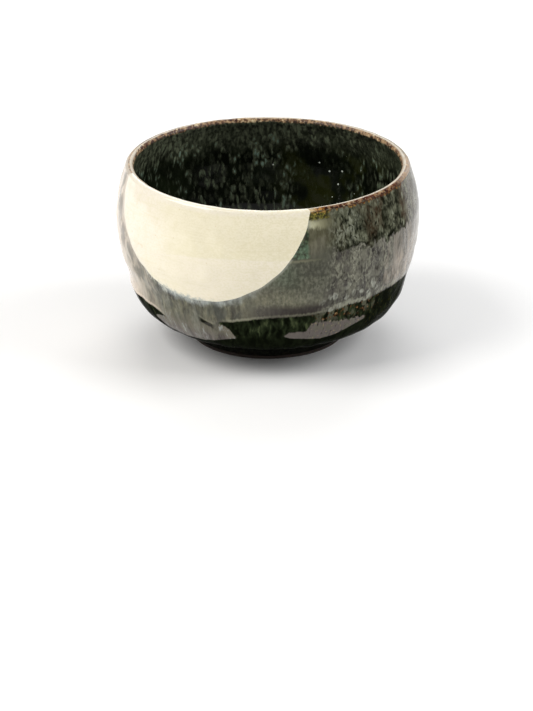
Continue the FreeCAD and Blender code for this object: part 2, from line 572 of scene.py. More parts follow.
@dataclass(frozen=True)
class Spinner:
    """Turns half sections into closed meshes round the bowl's axis."""

    hand: Hand
    segments: int = 720
    back_step: int = 4

    def coat(self, front: Profile, back: Profile, relief: Relief) -> Mesh:
        """Spins a glazed surface, closed by fewer rows of the clay's surface behind it."""
        thinned = np.concatenate([back[:-1:self.back_step], back[-1:]])
        return self.mesh(np.concatenate([front, thinned[::-1]]), relief, len(front))

    def mesh(self, rows: Profile, relief: Optional[Relief] = None, relief_rows: int = 0) -> Mesh:
        """Spins a closed half section.

        Args:
            rows: Profile points in order round the section; a row on the axis becomes one point.
            relief: Height of the surface over its profile, from azimuth, radius and height.
            relief_rows: How many of the first rows the relief moves.

        Returns:
            The mesh.
        """
        azimuth = np.arange(self.segments) * TURN / self.segments
        count = len(rows)
        radius = np.repeat(rows[:, 0:1], self.segments, axis=1)
        height = np.repeat(rows[:, 1:2], self.segments, axis=1)
        around = np.repeat(azimuth[None, :], count, axis=0)
        if relief is not None:
            part = slice(0, relief_rows)
            lift = relief(around[part], radius[part], height[part])
            radius[part] = radius[part] + lift * rows[part, 2:3]
            height[part] = height[part] + lift * rows[part, 3:4]
        points = np.stack([radius * np.sin(around), -radius * np.cos(around), height], axis=2)
        points = self.hand.shift(points.reshape(-1, 3)).reshape(count, self.segments, 3)
        return self.weave(points, rows[:, 0] < TOUCH)

    def weave(self, points: np.ndarray, on_axis: np.ndarray) -> Mesh:
        """Joins rings of points into faces.

        Args:
            points: Rings by segments by three coordinates.
            on_axis: Which rings shrink to one point.

        Returns:
            The mesh, with its faces turned outward.
        """
        mesh = bmesh.new()
        rings = []
        for ring, single in zip(points, on_axis):
            if single:
                middle = mesh.verts.new((0.0, 0.0, float(ring[:, 2].mean())))
                rings.append([middle] * self.segments)
            else:
                rings.append([mesh.verts.new(tuple(point)) for point in ring])
        closed = not (on_axis[0] or on_axis[-1])
        pairs = list(zip(rings, rings[1:])) + ([(rings[-1], rings[0])] if closed else [])
        for low, high in pairs:
            for near in range(self.segments):
                far = (near + 1) % self.segments
                corners = [low[near], low[far], high[far], high[near]]
                unique = [v for k, v in enumerate(corners) if v is not corners[k - 1]]
                if len(unique) > 2:
                    mesh.faces.new(unique)
        bmesh.ops.recalc_face_normals(mesh, faces=mesh.faces)
        return mesh


def keep_side(mesh: Mesh, form: BowlForm, dip: DipLevel, cut: Cut) -> None:
    """Cuts a closed mesh at the dip level and closes it again.

    Args:
        mesh: The mesh to cut.
        form: The bowl's section.
        dip: The level.
        cut: Which side stays.
    """
    normal = Vector(dip.normal)
    whole = mesh.verts[:] + mesh.edges[:] + mesh.faces[:]
    result = bmesh.ops.bisect_plane(mesh, geom=whole, dist=TOUCH, plane_no=normal,
                                    plane_co=normal * dip.distance(form),
                                    clear_inner=cut is Cut.DIPPED,
                                    clear_outer=cut is Cut.UNDIPPED)
    edges = [item for item in result["geom_cut"] if isinstance(item, bmesh.types.BMEdge)]
    filled = bmesh.ops.triangle_fill(mesh, use_beauty=True, edges=edges)
    LOG.debug("closed the cut with %d faces", len(filled["geom"]))
    bmesh.ops.recalc_face_normals(mesh, faces=mesh.faces)


def add_piece(name: str, mesh: Mesh, slot: str, material: bpy.types.Material,
              *nodes: str) -> bpy.types.Object:
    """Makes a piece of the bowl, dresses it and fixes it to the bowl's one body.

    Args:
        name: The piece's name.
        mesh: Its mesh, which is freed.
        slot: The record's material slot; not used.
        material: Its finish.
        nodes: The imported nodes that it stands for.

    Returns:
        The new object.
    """
    data = bpy.data.meshes.new(name)
    mesh.to_mesh(data)
    mesh.free()
    data.shade_smooth()
    data.set_sharp_from_angle(angle=SHARP_EDGE)
    piece = bpy.data.objects.new(name, data)
    bpy.context.scene.collection.objects.link(piece)
    data.materials.append(material)
    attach(piece, "root")
    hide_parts(*nodes)
    LOG.info("%s: %d vertices, %d faces", name, len(data.vertices), len(data.polygons))
    return piece


# Shader writing


def tone(code: str) -> tuple[float, float, float, float]:
    """A colour as seen on screen, in six hex digits, turned to linear light.

    Args:
        code: The six digits.

    Returns:
        Red, green, blue and full cover.
    """
    parts = [int(code[k:k + 2], 16) / 255.0 for k in (0, 2, 4)]
    linear = [p / 12.92 if p <= 0.04045 else ((p + 0.055) / 1.055) ** 2.4 for p in parts]
    return (linear[0], linear[1], linear[2], 1.0)


class Value:
    """A number that varies over the surface, which sums and products can be written with."""

    def __init__(self, shade: "Shade", socket: Socket) -> None:
        """Keeps the socket and the shader that it belongs to."""
        self.shade = shade
        self.socket = socket

    def __add__(self, other: Number) -> "Value":
        """Sum."""
        return self.shade.math("ADD", self, other)

    def __radd__(self, other: Number) -> "Value":
        """Sum with a plain number on the left."""
        return self.shade.math("ADD", other, self)

    def __sub__(self, other: Number) -> "Value":
        """Difference."""
        return self.shade.math("SUBTRACT", self, other)

    def __rsub__(self, other: Number) -> "Value":
        """Difference with a plain number on the left."""
        return self.shade.math("SUBTRACT", other, self)

    def __mul__(self, other: Number) -> "Value":
        """Product."""
        return self.shade.math("MULTIPLY", self, other)

    def __rmul__(self, other: Number) -> "Value":
        """Product with a plain number on the left."""
        return self.shade.math("MULTIPLY", other, self)

    def __truediv__(self, other: Number) -> "Value":
        """Quotient."""
        return self.shade.math("DIVIDE", self, other)

    def __abs__(self) -> "Value":
        """Size without sign."""
        return self.shade.math("ABSOLUTE", self)

    def rise(self, low: float, high: float) -> "Value":
        """Goes smoothly from 0 at low to 1 at high, or falls where high is the smaller.

        Args:
            low: Where the step begins.
            high: Where it ends.

        Returns:
            The share from 0 to 1.
        """
        if low <= high:
            return self.shade.range(self, low, high)
        return 1.0 - self.shade.range(self, high, low)

    def within(self, low: Number, high: float, soft: float) -> "Value":
        """One between two values, fading out over a soft edge at both."""
        return (self - low).rise(-soft, soft) * self.rise(high + soft, high - soft)

    def swing(self, amount: float) -> "Value":
        """How far a noise is from its middle, times an amount."""
        return (self - 0.5) * amount

    def at_most(self, other: Number) -> "Value":
        """The smaller of two."""
        return self.shade.math("MINIMUM", self, other)

    def at_least(self, other: Number) -> "Value":
        """The larger of two."""
        return self.shade.math("MAXIMUM", self, other)


class Coat:
    """A colour that varies over the surface, and that more colours can be laid over."""

    def __init__(self, shade: "Shade", socket: Socket) -> None:
        """Keeps the socket and the shader that it belongs to."""
        self.shade = shade
        self.socket = socket

    def lay(self, over: Colour, share: Number) -> None:
        """Lays a colour over what is there, by a share."""
        self.socket = self.shade.mix(self, over, share).socket


class Cell(Enum):
    """What a pattern of cells measures its distance from."""

    MIDDLE = "F1"
    EDGE = "DISTANCE_TO_EDGE"


class Shade:
    """Writes one material's nodes. Lengths are millimetres on the bowl."""

    def __init__(self, name: str) -> None:
        """Starts an empty material.

        Args:
            name: The material's name.
        """
        self.material = bpy.data.materials.new(name)
        self.material.use_nodes = True
        self.tree = self.material.node_tree
        self.tree.nodes.clear()
        place = self.node("ShaderNodeTexCoord").outputs["Object"]
        self.place = self.stretch(place, (1.0 / MM,) * 3)
        parts = self.node("ShaderNodeSeparateXYZ", inputs={0: self.place})
        self.x, self.y, self.z = (Value(self, part) for part in parts.outputs)

    def node(self, kind: str, settings: Optional[dict[str, Any]] = None,
             inputs: Optional[dict[Union[int, str], Any]] = None) -> bpy.types.Node:
        """Adds a node.

        Args:
            kind: The node's type.
            settings: Its own settings, set before its sockets; "stops" fills a ramp.
            inputs: Values, coats, sockets or constants for its input sockets.

        Returns:
            The node.
        """
        made = self.tree.nodes.new(kind)
        for key, setting in (settings or {}).items():
            if key == "stops":
                self.fill_ramp(made, setting)
            else:
                setattr(made, key, setting)
        for key, given in (inputs or {}).items():
            source = given.socket if isinstance(given, (Value, Coat)) else given
            if isinstance(source, Socket):
                self.tree.links.new(source, made.inputs[key])
            else:
                made.inputs[key].default_value = source
        return made

    @staticmethod
    def fill_ramp(ramp: bpy.types.Node, stops: Sequence[tuple[float, float]]) -> None:
        """Sets a ramp's stops, each a position and a grey level.

        Args:
            ramp: The ramp's node.
            stops: Pairs of position and grey level.
        """
        elements = ramp.color_ramp.elements
        while len(elements) < len(stops):
            elements.new(1.0)
        for element, (position, level) in zip(elements, stops):
            element.position = position
            element.color = (level, level, level, 1.0)

    def math(self, operation: str, *terms: Number) -> Value:
        """One step of arithmetic on values and numbers."""
        made = self.node("ShaderNodeMath", {"operation": operation}, dict(enumerate(terms)))
        return Value(self, made.outputs[0])

    def vector(self, operation: str, *terms: Any) -> bpy.types.Node:
        """One step of arithmetic on vectors."""
        return self.node("ShaderNodeVectorMath", {"operation": operation}, dict(enumerate(terms)))

    def range(self, value: Value, low: float, high: float) -> Value:
        """Smooth step from 0 at low to 1 at high.

        Args:
            value: What the step is taken of.
            low: Where the step begins.
            high: Where it ends.

        Returns:
            The step.
        """
        made = self.node("ShaderNodeMapRange", {"interpolation_type": "SMOOTHSTEP"},
                         {"Value": value, "From Min": low, "From Max": high})
        return Value(self, made.outputs["Result"])

    def stretch(self, place: Socket, scales: Sequence[float]) -> Socket:
        """Scales a place along its axes."""
        return self.vector("MULTIPLY", place, tuple(scales)).outputs[0]

    def tall(self, place: Socket, share: float) -> Socket:
        """Scales a place's height, so that a pattern is drawn out where the share is below one."""
        return self.stretch(place, (1.0, 1.0, share))

    def warp(self, place: Socket, size: float, amount: float) -> Socket:
        """Pushes a place sideways by a soft noise.

        Args:
            place: The place.
            size: Size of the noise in millimetres.
            amount: How far it pushes, in millimetres.

        Returns:
            The pushed place.
        """
        noise = self.node("ShaderNodeTexNoise", {"noise_dimensions": "3D"},
                          {"Vector": place, "Scale": 1.0 / size, "Detail": 2.0})
        centred = self.vector("SUBTRACT", noise.outputs["Color"], (0.5, 0.5, 0.5))
        pushed = self.vector("MULTIPLY_ADD", centred.outputs[0], (2.0 * amount,) * 3, place)
        return pushed.outputs[0]

    def noise(self, place: Socket, size: float, detail: float = 3.0, rough: float = 0.5) -> Value:
        """Soft noise from 0 to 1, with features of a size in millimetres.

        Args:
            place: Where the pattern is read.
            size: Size in millimetres.
            detail: How many finer layers it has.
            rough: How strong the finer layers are.

        Returns:
            The noise.
        """
        made = self.node("ShaderNodeTexNoise", {"noise_dimensions": "3D"},
                         {"Vector": place, "Scale": 1.0 / size, "Detail": detail,
                          "Roughness": rough})
        return Value(self, made.outputs[0])

    def cells(self, place: Socket, size: float, start: Cell = Cell.MIDDLE) -> Value:
        """Distance from the middle of rounded cells, or from the lines between them.

        Args:
            place: Where the pattern is read.
            size: Size in millimetres.
            start: What the distance is measured from.

        Returns:
            The distance, in shares of a cell.
        """
        made = self.node("ShaderNodeTexVoronoi", {"feature": start.value},
                         {"Vector": place, "Scale": 1.0 / size})
        return Value(self, made.outputs["Distance"])

    def mix(self, under: Colour, over: Colour, share: Number) -> Coat:
        """Lays one colour over another by a share.

        Args:
            under: The lower colour.
            over: The upper colour.
            share: How much of it shows.

        Returns:
            The mixed colour.
        """
        pair = [tone(given) if isinstance(given, str) else given for given in (under, over)]
        made = self.node("ShaderNodeMix", {"data_type": "RGBA", "clamp_factor": True},
                         {0: share, 6: pair[0], 7: pair[1]})
        return Coat(self, made.outputs[2])

    def azimuth(self) -> Value:
        """Degrees round the bowl from its front, towards +X."""
        return self.math("ARCTAN2", self.x, self.y * -1.0) * (360.0 / TURN)

    def radius(self) -> Value:
        """Distance from the bowl's axis."""
        return self.math("SQRT", self.x * self.x + self.y * self.y)

    def along(self, direction: Sequence[float], start: float) -> Value:
        """Distance in millimetres past a plane."""
        made = self.vector("DOT_PRODUCT", self.place, tuple(direction))
        return Value(self, made.outputs["Value"]) - start

    def meridians(self, radius: float) -> Socket:
        """The place pushed out to one radius, so that patterns follow the wall's meridians.

        Args:
            radius: The radius in millimetres.

        Returns:
            The pushed place.
        """
        reach = self.radius() / radius
        parts = {0: self.x / reach, 1: self.y / reach, 2: self.z}
        return self.node("ShaderNodeCombineXYZ", None, parts).outputs[0]

    def curve(self, value: Value, stops: Sequence[tuple[float, float]]) -> Value:
        """Reads a value off a line through stops.

        Args:
            value: Where to read it.
            stops: Pairs of position and value, in rising order.

        Returns:
            The value there.
        """
        low, high = stops[0][0], stops[-1][0]
        levels = [level for _, level in stops]
        least, most = min(levels), max(levels)
        greys = [((place - low) / (high - low), (level - least) / (most - least))
                 for place, level in stops]
        made = self.node("ShaderNodeValToRGB", {"stops": greys}, {0: (value - low) / (high - low)})
        return Value(self, made.outputs[0]) * (most - least) + least

    def bump(self, height: Value, depth: float) -> Socket:
        """Normal of a small relief whose height runs from 0 to 1 over a depth in millimetres."""
        made = self.node("ShaderNodeBump", None, {"Height": height, "Distance": depth * MM})
        return made.outputs[0]

    def finish(self, base: Coat, rough: Number, normal: Socket, sheen: Optional[Value] = None,
               matt_ior: float = 1.4, **constants: Any) -> bpy.types.Material:
        """Ends the material in a surface.

        Args:
            base: Its colour.
            rough: Its roughness.
            normal: Its small relief.
            sheen: How far it is the glassy surface rather than one that reflects less.
            matt_ior: Refraction of the surface that reflects less.
            constants: Further values of the surface, by socket name with underscores.

        Returns:
            The material.
        """
        inputs = {"Base Color": base, "Roughness": rough, "Normal": normal,
                  **{key.replace("_", " "): given for key, given in constants.items()}}
        surface = self.node("ShaderNodeBsdfPrincipled", None, inputs)
        if sheen is not None:
            quiet = self.node("ShaderNodeBsdfPrincipled", None, {**inputs, "IOR": matt_ior})
            surface = self.node("ShaderNodeMixShader", None,
                                {0: sheen, 1: quiet.outputs[0], 2: surface.outputs[0]})
        self.node("ShaderNodeOutputMaterial", None, {"Surface": surface.outputs[0]})
        return self.material


# Finishes. Places on the bowl are degrees round it and millimetres above the foot; a noise runs
# from 0 to 1 about 0.5


@dataclass(frozen=True)
class CreamGlaze:
    """The cream disc: a warm white glaze with very fine crackle."""

    body: str = "F6EED4"
    warm: str = "F5EDDD"
    rose: str = "F3E9D8"
    deep: str = "E6DDB8"
    crack: str = "CDC29A"
    stain: str = "CFAE72"
    wash: str = "A7B1AE"
    fine_crack: float = 1.5
    wide_crack: float = 4.5
    lip_start: float = 70.5
    relief: float = 0.05
    ior: float = 1.6

    def material(self, form: BowlForm, dip: DipLevel) -> bpy.types.Material:
        """Writes the finish.

        Args:
            form: The bowl's section.
            dip: The dip level.

        Returns:
            The material.
        """
        shade = Shade("cream_glaze")
        place, azimuth = shade.place, shade.azimuth()
        over = shade.along(dip.normal, dip.distance(form) / MM)
        broad = shade.noise(place, 24.0)
        mottle = shade.noise(shade.tall(place, 0.45), 3.6, 4.0)
        base = shade.mix(self.warm, self.body, (azimuth + broad * 30.0).rise(-50.0, -10.0))
        base.lay(self.deep, mottle.rise(0.45, 0.75) * 0.22)
        across = shade.warp(place, 2.4, 0.5)
        fine = shade.cells(across, self.fine_crack, Cell.EDGE).rise(0.05, 0.0)
        wide = shade.cells(across, self.wide_crack, Cell.EDGE).rise(0.014, 0.0)
        patch = shade.noise(place, 7.0, 2.0).rise(0.42, 0.65)
        base.lay(self.crack, fine * patch * 0.22 + wide * patch * 0.25)
        smudge = shade.noise(shade.tall(place, 1.8), 4.5, 4.0, 0.7).rise(0.60, 0.72)
        base.lay(self.stain, smudge * over.rise(8.0, 2.0) * azimuth.rise(-35.0, -50.0) * 0.6)
        # Whiter towards the lip: paler glaze there, and a painted highlight
        base.lay(self.warm, (shade.z - self.lip_start).rise(0.0, 2.5) * 0.8)
        past = shade.z - shade.curve(azimuth, DISC_RING) + broad.swing(0.8)
        self.throwing_ring_glint(base, past, azimuth)
        lines = shade.noise(shade.stretch(place, (0.06, 0.06, 1.0)), 0.9, 2.0)
        base.lay(self.deep, lines.rise(0.5, 0.72) * 0.25)
        weave = shade.noise(shade.stretch(place, (0.7, 0.7, 1.0)), 0.7, 3.0, 0.6)
        base.lay(self.deep, weave.rise(0.44, 0.62) * (0.25 + azimuth.rise(-30.0, 0.0) * 0.25))
        base.lay(self.stain, shade.cells(place, 3.4).rise(0.075, 0.03) * 0.5)
        grain = shade.noise(shade.tall(place, 0.7), 1.7, 4.0, 0.6)
        edge = (over + grain.swing(5.5)).rise(1.2, -0.4) * azimuth.rise(-16.0, -30.0)
        base.lay(self.wash, edge * (0.15 + azimuth.rise(-50.0, -38.0) * 0.7))
        relief = shade.noise(place, 2.6) * 0.5 - fine * 0.05 - wide * 0.1
        return shade.finish(base, 0.10 + mottle * 0.06, shade.bump(relief, self.relief),
                            IOR=self.ior)

    def throwing_ring_glint(self, base: Coat, past: Value, azimuth: Value) -> None:
        """Draws a throwing ring across the disc as a pale painted glint, with a deeper tone above
        it and a rosy one below.

        Args:
            base: The disc's colour.
            past: Height over the ring.
            azimuth: Degrees round the bowl.
        """
        shade = base.shade
        above = past.rise(-0.2, 0.2) * past.rise(13.0, 2.0) * azimuth.rise(-48.0, -22.0)
        bent = shade.stretch(shade.warp(shade.place, 8.0, 4.0), (0.5, 0.5, 1.7))
        arcs = shade.noise(bent, 1.3, 2.0)
        base.lay(self.deep, above * (0.22 + arcs.rise(0.55, 0.42) * 0.30))
        base.lay(self.rose, past.rise(0.2, -0.2) * azimuth.rise(-50.0, -26.0) * 0.45)
        # The pale line on the ring is a painted glint
        base.lay(self.warm, abs(past).rise(0.8, 0.1) * 0.30)


@dataclass(frozen=True)
class Wall:
    """A place on the outer wall, and the noises that its finish is drawn with."""

    shade: Shade
    azimuth: Value
    height: Value
    over: Value
    hem: Value
    flow: Socket
    streak: Value
    fine: Value
    broad: Value
    grain: Value

    @classmethod
    def of(cls, shade: Shade, form: BowlForm, dip: DipLevel) -> "Wall":
        """Reads them in one material.

        Args:
            shade: The shader to write in.
            form: The bowl's section.
            dip: The dip level.

        Returns:
            The place and its noises.
        """
        azimuth, height, flow = shade.azimuth(), shade.z, shade.meridians(55.0)
        streak = shade.noise(shade.tall(flow, 0.13), 1.3, 4.0, 0.6)
        fine = shade.noise(shade.tall(flow, 0.35), 0.8, 3.0, 0.6)
        return cls(shade=shade, azimuth=azimuth, height=height, flow=flow, streak=streak, fine=fine,
                   over=shade.along(dip.normal, dip.distance(form) / MM),
                   hem=height - shade.curve(azimuth, HEM) - streak.swing(1.2) - fine.swing(0.9),
                   broad=shade.noise(shade.tall(flow, 0.5), 10.0),
                   grain=shade.noise(shade.tall(flow, 0.8), 1.1))

    def noise(self, drawn: float, size: float, detail: float = 3.0, rough: float = 0.5) -> Value:
        """Soft noise along the meridians, drawn out down the wall where drawn is below one."""
        return self.shade.noise(self.shade.tall(self.flow, drawn), size, detail, rough)


@dataclass(frozen=True)
class Drops:
    """Drops that run down the wall: their shares, distance to their middles, gaps and veins."""

    body: Value
    middle: Value
    gaps: Value
    vein: Value

    @classmethod
    def on(cls, wall: Wall, size: float = 2.8) -> "Drops":
        """Draws drops of a size, with smaller ones among them.

        Args:
            wall: The place on the wall.
            size: Size in millimetres.

        Returns:
            The drops.
        """
        shade, fine = wall.shade, wall.fine
        uneven = shade.warp(shade.warp(shade.tall(wall.flow, 0.70), 1.8, 0.80), 5.0, 1.6)
        middle = shade.cells(uneven, size)
        body = middle.rise(0.72, 0.26) * 0.70 + shade.cells(uneven, 1.1).rise(0.72, 0.28) * 0.30
        wind = shade.noise(shade.warp(shade.tall(wall.flow, 0.36), 1.7, 0.6), 2.3, 2.0, 0.4)
        net = shade.cells(uneven, size, Cell.EDGE).rise(0.20, 0.04)
        return cls(body=body * (0.50 + fine.rise(0.34, 0.58) * 0.50), middle=middle,
                   gaps=abs(wind - 0.5).rise(0.040, 0.010) * (0.45 + fine.rise(0.62, 0.42) * 0.55),
                   vein=net * (0.2 + (fine * 0.6 + wall.grain * 0.4).rise(0.38, 0.60) * 0.8))


@dataclass(frozen=True)
class GreenGlaze:
    """The outside: dark green with streaked drops, a grey veil, and a dark band over the foot."""

    night: str = "0B0E07"
    moss: str = "252C1C"
    gap: str = "1B1C12"
    brown: str = "3B2C1F"
    cell: str = "70725F"
    pale_cell: str = "949787"
    lit_gap: str = "171413"
    lit_cell: str = "575748"
    lit_drop: str = "878876"
    pearl: str = "999C92"
    # Streaked glaze round the right side, partly a warm painted reflection
    limb_streaks_and_reflection: str = "3E3A33"
    limb_streaks_and_reflection_pale: str = "746C60"
    # Pale painted reflection round both sides of the wall, greyer towards the back
    limb_reflection: str = "F0DECA"
    limb_reflection_back: str = "A09A8A"
    veil: str = "22231A"
    veil_light: str = "6C6B55"
    veil_dark_reflection: str = "251F1D"
    # The field beside the disc is painted reflection with a painted glint; the pale tone also draws
    # a glint line and a lighter patch of veil
    smooth: str = "44422F"
    pale_glaze_and_reflection: str = "A09E7C"
    painted_field_glint: str = "DCDCC0"
    hem_line: str = "8E8E78"
    sedge: str = "474F36"
    rust: str = "553420"
    amber: str = "93805A"
    olive: str = "726C2A"
    olive_dark: str = "2E2C0E"
    ochre: str = "B8964A"
    teal: str = "445C47"
    teal_pale: str = "6D876C"
    halo: str = "AEB7B6"
    finger: str = "D2D4C8"
    halo_deep: str = "343A33"
    halo_streak: str = "96988A"
    tongue_reflection: str = "3E3836"
    tongue_reflection_pale: str = "6C645F"
    rim_brown: str = "502A1E"
    panel_level: float = 56.5
    veil_top: float = 53.5
    frayed_rim: float = 72.3
    relief: float = 0.13
    ior: float = 1.66
    matt_ior: float = 1.015
    tint: tuple[float, float, float, float] = (1.0, 0.94, 0.84, 1.0)

    def material(self, form: BowlForm, dip: DipLevel) -> bpy.types.Material:
        """Writes the finish.

        Args:
            form: The bowl's section.
            dip: The dip level.

        Returns:
            The material.
        """
        shade = Shade("green_glaze")
        wall = Wall.of(shade, form, dip)
        drops, reflection_tongues, azimuth, fine = Drops.on(wall), self.reflection_tongues(wall), wall.azimuth, wall.fine
        ragged = wall.broad.swing(4.0) + fine.swing(7.0)
        lean = (wall.height - 55.0) * 0.07
        side = (azimuth + ragged - lean).rise(20.5, 26.5) + azimuth.rise(-100.0, -110.0)
        lobes = wall.noise(0.3, 2.4, 2.0).swing(11.0)
        past = wall.height + lobes + fine.swing(2.0) + (drops.body - 0.4) * 2.0 - self.panel_level
        panel = side * past.rise(-0.4, 0.4)
        cells = shade.mix(self.lit(wall, drops), self.dark(wall, drops, past), panel)
        base = shade.mix(self.veil_colour(wall), cells, side)
        self.painted_limb_reflections(base, wall)
        self.edge_colour(base, wall)
        self.foot_band(base, wall, drops.body, reflection_tongues)
        self.rim_colour(base, wall)
        relief = ((drops.body * 0.5 - drops.gaps * 0.3 + drops.vein * 0.3) * side
                  + wall.streak * 0.3 + fine * 0.15)
        sheen = self.sheen(wall, drops, side, panel, reflection_tongues)
        return shade.finish(base, 0.06 + fine * 0.07, shade.bump(relief, self.relief), sheen,
                            self.matt_ior, IOR=self.ior, Specular_Tint=self.tint)

    def sheen(self, wall: Wall, drops: Drops, side: Value, panel: Value, reflection_tongues: Value) -> Value:
        """How glassy the glaze is: least in the band and the panel, less over drops and veil.

        Args:
            wall: The place on the wall.
            drops: The drops there.
            side: The share of the right side and the back, where the drops are.
            panel: The share of the dark panel.
            reflection_tongues: The share of the tongues of painted reflection.

        Returns:
            The share of the glassy surface.
        """
        azimuth, height, hem = wall.azimuth, wall.height, wall.hem
        sheen = hem.rise(-0.4, 0.4) * (1.0 - panel * azimuth.within(10.0, 65.0, 3.0))
        broken = side * (0.42 + drops.gaps * 0.4 - drops.body * 0.3)
        sheen = sheen * (1.0 - broken * azimuth.rise(74.0, 50.0))
        sheen = sheen * (1.0 - azimuth.within(58.0, 110.0, 6.0) * height.rise(54.0, 60.0) * 0.3)
        sheen = sheen * (1.0 - self.satin(wall) * (1.0 - side)) * (1.0 - self.slit(wall)[0])
        back = (1.0 - azimuth.within(-85.0, 95.0, 12.0)) * (0.35 + hem.rise(-2.0, 2.0) * 0.4)
        return sheen.at_least(reflection_tongues * 0.5).at_least(back)

    def satin(self, wall: Wall) -> Value:
        """How much less the veil shines beside the disc and over its hem at the right.

        Args:
            wall: The place on the wall.

        Returns:
            The share of shine that it loses.
        """
        azimuth, height, fine = wall.azimuth, wall.height, wall.fine
        thread = (fine * 0.6 + wall.streak * 0.4).rise(0.60, 0.42)
        low = (height + fine.swing(5.0)).rise(37.5, 32.0) * azimuth.rise(-6.0, 12.0)
        high = height.within(42.0, self.veil_top, 3.0) * azimuth.within(2.0, 30.0, 6.0)
        field = height.rise(51.0, 55.0) * azimuth.rise(8.0, 12.0)
        even = 0.28 - azimuth.within(-8.0, 24.0, 4.0) * 0.16
        return (low * 0.55 + high * 0.3 + field * 0.15 + thread * even
                + self.wedge(wall) * 0.40).at_most(0.85)

    def dark(self, wall: Wall, drops: Drops, past: Value) -> Coat:
        """The dark panel under the rim, darkest just over its lower edge.

        Args:
            wall: The place on the wall.
            drops: The drops there.
            past: Height over the panel's lower edge.

        Returns:
            The panel's colour.
        """
        azimuth, fine = wall.azimuth, wall.fine
        tan = wall.broad.rise(0.46, 0.58) * (0.6 + azimuth.within(44.0, 62.0, 6.0) * 0.4)
        left = azimuth.rise(40.0, 31.0)
        blotch = wall.noise(0.8, 4.6, 2.0).rise(0.44, 0.60)
        base = wall.shade.mix(self.gap, self.brown, tan * 0.9)
        base.lay(self.moss, left * 0.35)
        base.lay(self.cell, drops.body * (0.96 - left * 0.2 - tan * 0.3)
                 + drops.vein * (0.06 + left * 0.60))
        core = drops.middle.rise(0.40, 0.14)
        base.lay(self.pale_cell, core * fine.rise(0.46, 0.60) * (0.25 + blotch * 0.50))
        base.lay(self.pale_cell, drops.vein * left * blotch * 0.6)
        base.lay(self.night, drops.gaps * 0.9)
        uneven = (fine * 0.5 + wall.broad * 0.5).rise(0.60, 0.46)
        edge = past.rise(5.0, 1.2) * (0.45 + uneven * 0.55)
        base.lay(self.night, edge * (1.0 - drops.body * 0.6))
        return base

    def lit(self, wall: Wall, drops: Drops) -> Coat:
        """The grey drops below the dark panel, veined above and rounder towards the hem.

        Args:
            wall: The place on the wall.
            drops: The drops there.

        Returns:
            Their colour.
        """
        shade, azimuth, fine = wall.shade, wall.azimuth, wall.fine
        low = (wall.height + wall.broad.swing(12.0)).rise(46.0, 37.0)
        crowd = wall.noise(0.4, 5.0, 3.0, 0.55).rise(0.40, 0.60)
        leaf = wall.noise(0.3, 3.4).rise(0.42, 0.58)
        filled = drops.body * 0.45 + fine.rise(0.36, 0.62) * 0.16 + leaf * 0.38 - 0.12
        base = shade.mix(self.lit_gap, self.lit_cell, filled)
        base.lay(self.lit_drop, drops.vein * (0.12 + crowd * 0.50) * (1.0 - low * 0.5))
        base.lay(self.lit_drop, drops.middle.rise(0.40, 0.15) * 0.30 * (0.3 + crowd * 0.7))
        bead = shade.cells(shade.warp(shade.tall(wall.flow, 0.74), 1.8, 0.7), 3.2)
        base.lay(self.lit_gap, bead.within(0.46, 0.62, 0.08) * low * 0.25)
        ringed = bead.within(0.26, 0.38, 0.07) * fine.rise(0.38, 0.54)
        base.lay(self.lit_drop, ringed * (0.20 + crowd * 0.42))
        base.lay(self.lit_gap, bead.rise(0.22, 0.08) * (1.0 - low) * 0.25)
        rounded = bead.rise(0.48, 0.26) * (0.35 + fine.rise(0.40, 0.56) * 0.65)
        base.lay(self.pearl, rounded * low * (0.30 + crowd * 0.42))
        base.lay(self.lit_gap, drops.gaps * 0.45)
        # Round the right side the drops give way to streaked glaze, partly a warm painted
        # reflection
        soft = wall.noise(0.15, 2.0)
        limb_streaks_and_reflection = shade.mix(self.limb_streaks_and_reflection, self.limb_streaks_and_reflection_pale, soft.rise(0.38, 0.62) * 0.8 + fine.swing(0.4))
        spread = (azimuth + soft.swing(24.0)).rise(45.0, 60.0)
        base.lay(limb_streaks_and_reflection, spread * (azimuth + soft.swing(60.0)).rise(124.0, 88.0) * 0.85)
        return base

    def veil_colour(self, wall: Wall) -> Coat:
        """The smooth grey-green veil under the disc, and the smoother field of painted reflection
        at its right.

        Args:
            wall: The place on the wall.

        Returns:
            The veil's colour.
        """
        azimuth, height, streak, fine = wall.azimuth, wall.height, wall.streak, wall.fine
        soft = wall.noise(0.28, 2.8)
        left = azimuth.rise(6.0, -6.0) * 0.35
        thread = (streak * (0.5 - left) + fine * (0.5 - left * 0.5) + soft * left * 1.5
                  + wall.broad.swing(0.12))
        drift = wall.broad.swing(0.9) + soft.swing(0.5) + wall.grain.swing(0.9) + 0.46
        calm = azimuth.within(-10.0, 30.0, 6.0) * 0.75
        base = wall.shade.mix(self.veil, self.veil_light,
                              thread.rise(0.38, 0.62) * (1.0 - calm) + drift * calm)
        speck = wall.grain * 0.6 + fine * 0.4
        mossy = azimuth.within(2.0, 30.0, 6.0) * height.rise(30.0, 42.0)
        base.lay(self.moss, mossy * (0.52 + speck.rise(0.62, 0.40) * 0.32))
        speckled = azimuth.within(-16.0, 26.0, 6.0) * height.within(34.0, self.veil_top, 2.0)
        base.lay(self.halo_streak, speckled * speck.rise(0.42, 0.66) * 0.15)
        nearby = azimuth.within(-6.0, 10.0, 5.0) * height.within(44.0, self.veil_top, 3.0)
        base.lay(self.teal_pale, nearby * (0.10 + speck.rise(0.42, 0.62) * 0.14))
        base.lay(self.night, height.within(47.5, 53.0, 1.6) * azimuth.within(13.0, 24.0, 4.0) * 0.3)
        lighter = height.within(33.5, 42.0, 3.0) * azimuth.within(-30.0, 12.0, 8.0)
